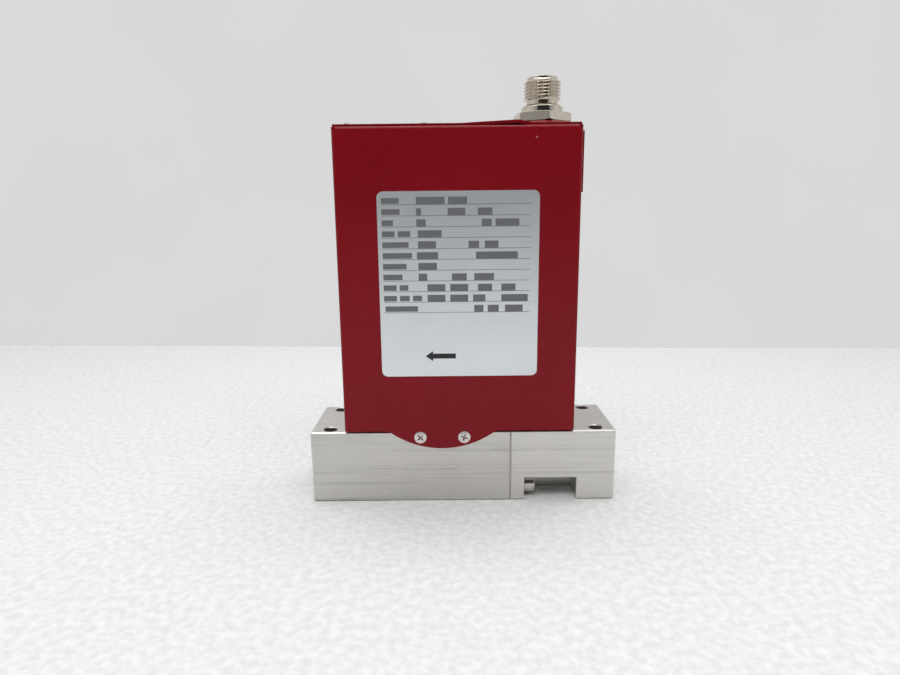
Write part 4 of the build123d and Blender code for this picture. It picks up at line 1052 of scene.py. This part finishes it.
class FLOW_OT_build_studio(bpy.types.Operator):
    """Build the foam floor, the backdrop, the lamps and the camera"""

    bl_idname = "flow.build_studio"
    bl_label = "Studio"

    def execute(self, context):
        look = context.scene.flow_studio
        self.floor(look)
        self.wall(look)
        self.lamps()
        self.room(look)
        self.camera(look)
        context.scene.view_settings.view_transform = "Standard"
        return {"FINISHED"}

    def sheet(self, name, x, low_y, high_y, material):
        """Flat rectangle in the XY plane of its own frame, as wide to both sides."""
        mesh = bpy.data.meshes.new(name)
        corners = [(-x, low_y, 0.0), (x, low_y, 0.0), (x, high_y, 0.0), (-x, high_y, 0.0)]
        mesh.from_pydata(corners, [], [(0, 1, 2, 3)])
        mesh.materials.append(material)
        sheet = linked(name, mesh)
        return sheet

    def floor(self, look):
        """Foam with small cells, a hair under the part's feet."""
        made = Finish("pale_foam", look.floor_colour, 0.75, specular=0.25)
        cells = made.cells(made.place, 1 / look.foam_size)
        beads = made.noise(made.place, 1 / (look.foam_size * 2.2), 3.0)
        relief = made.math("ADD", made.math("MULTIPLY", cells, 0.5), beads)
        made.set(Base_Color=made.mottled(made.ranged(beads, 0.35, 0.68), 0.93, 1.07))
        made.bump(relief, 0.00022)
        floor = self.sheet("floor", look.floor_reach, -look.floor_reach, look.floor_end, made.material)
        floor.location.z = -look.floor_drop

    def wall(self, look):
        """Backdrop that shows its own even grey and sends the lamps' light back like paper."""
        made = Finish("backdrop", look.wall_colour, 0.9, specular=0.1)
        ray = made.add("ShaderNodeLightPath").outputs
        shown = made.math("MAXIMUM", ray["Is Camera Ray"], ray["Is Glossy Ray"])
        shown = made.math("MAXIMUM", shown, ray["Is Transmission Ray"])
        tone = made.mottled(made.uneven(made.noise(made.place, 9.0)), 0.985, 1.015)
        glow = made.add("ShaderNodeEmission", {"Color": tone, "Strength": 1.0}).outputs[0]
        mix = made.add("ShaderNodeMixShader", {0: shown, 1: made.shader.outputs["BSDF"], 2: glow})
        made.feed(made.output.inputs["Surface"], mix.outputs[0])
        wall = self.sheet("wall", look.wall_reach, 0.0, look.wall_height, made.material)
        upright = Matrix.Rotation(look.wall_turn, 4, "Z") @ Matrix.Rotation(QUARTER_TURN, 4, "X")
        wall.matrix_world = Matrix.Translation((0.0, look.wall_distance, -look.wall_sink)) @ upright

    def lamps(self):
        """A soft box overhead, a fill high in front and a light on the floor before the part."""
        boxes = (  # place, point that the lamp aims at, width and depth, power and spread
            ("overhead_box", (0.0, 0.12, 0.80), (0.0, 0.0, 0.06), (0.7, 0.26), 2.5, 180.0),
            ("front_fill", (0.0, -0.60, 1.00), (0.0, 0.0, 0.06), (1.3, 0.40), 4.0, 180.0),
            ("floor_light", (0.0, -0.34, 0.24), (0.0, -0.34, 0.0), (0.9, 0.3), 0.1, 90.0),
        )
        for name, place, aim, size, power, spread in boxes:
            lamp = bpy.data.lights.new(name, "AREA")
            lamp.shape = "RECTANGLE"
            lamp.size, lamp.size_y = size
            lamp.energy = power
            lamp.spread = math.radians(spread)
            made = linked(name, lamp)
            made.location = place
            way = Vector(aim) - Vector(place)
            made.rotation_euler = way.to_track_quat("-Z", "Y").to_euler()

    def room(self, look):
        """World: bright sides and ceiling, a dark opening in front, and pale where the camera sees it."""
        world = bpy.data.worlds.new("studio_room")
        bpy.context.scene.world = world
        world.use_nodes = True
        world.node_tree.nodes.clear()
        made = NodeMaker(world.node_tree)
        way = made.parts(made.add("ShaderNodeTexCoord").outputs["Generated"])
        level_way = made.vector_math("NORMALIZE", made.vector(X=way["X"], Y=way["Y"]))
        ahead = made.math("MULTIPLY", made.parts(level_way)["Y"], -1.0)
        near = made.ranged(ahead, look.opening_core, look.opening_edge, look.dark_level, look.edge_level)
        side_gain = look.room_level - look.edge_level
        wide = made.ranged(ahead, look.opening_edge, look.opening_side, 0.0, side_gain)
        covered = made.ranged(way["Z"], look.ceiling_start, look.ceiling_end)
        level = made.between(covered, made.math("ADD", near, wide), look.room_level)
        seen = made.add("ShaderNodeLightPath").outputs["Is Camera Ray"]
        strength = made.math("MAXIMUM", level, made.math("MULTIPLY", seen, look.seen_level))
        light = made.add("ShaderNodeBackground", {"Color": (1.0, 1.0, 1.0, 1.0), "Strength": strength})
        made.add("ShaderNodeOutputWorld", {"Surface": light.outputs[0]})

    def camera(self, look):
        """The camera of the photo, turned by its three angles."""
        turn = (Matrix.Rotation(-look.camera_yaw, 4, "Z")
                @ Matrix.Rotation(QUARTER_TURN - look.camera_pitch, 4, "X")
                @ Matrix.Rotation(look.camera_roll, 4, "Z"))
        data = bpy.data.cameras.new("camera")
        data.sensor_width = 36.0
        data.lens = look.camera_lens
        data.clip_start = 0.005
        camera = linked("camera", data)
        camera.matrix_world = Matrix.Translation(look.camera_place) @ turn
        bpy.context.scene.camera = camera


OPERATORS = (
    FLOW_OT_finish_blocks, FLOW_OT_finish_covers, FLOW_OT_print_label, FLOW_OT_turn_connector,
    FLOW_OT_cut_screws, FLOW_OT_finish_controls, FLOW_OT_finish_inside, FLOW_OT_build_studio,
)
LOOKS = {
    "flow_steel": SteelLook, "flow_cover": CoverLook, "flow_label": LabelLook,
    "flow_connector": ConnectorLook, "flow_screw": ScrewLook, "flow_studio": StudioLook,
}


class FLOW_PT_panel(bpy.types.Panel):
    """Lists the finishing steps and their sizes."""

    bl_idname = "FLOW_PT_panel"
    bl_label = "Flow Controller"
    bl_space_type = "VIEW_3D"
    bl_region_type = "UI"
    bl_category = "Flow Controller"

    def draw(self, context):
        for operator in OPERATORS:
            self.layout.operator(operator.bl_idname)
        for name, look in LOOKS.items():
            box = self.layout.box()
            box.label(text=look.__doc__)
            for key in look.__annotations__:
                box.prop(getattr(context.scene, name), key)


def register():
    for look in LOOKS.values():
        bpy.utils.register_class(look)
    for name, look in LOOKS.items():
        setattr(bpy.types.Scene, name, PointerProperty(type=look))
    for operator in OPERATORS:
        bpy.utils.register_class(operator)
    bpy.utils.register_class(FLOW_PT_panel)


def unregister():
    bpy.utils.unregister_class(FLOW_PT_panel)
    for operator in reversed(OPERATORS):
        bpy.utils.unregister_class(operator)
    for name, look in LOOKS.items():
        delattr(bpy.types.Scene, name)
        bpy.utils.unregister_class(look)


def main():
    register()
    for operator in OPERATORS:
        group, name = operator.bl_idname.split(".")
        getattr(getattr(bpy.ops, group), name)()


if __name__ == "__main__":
    main()
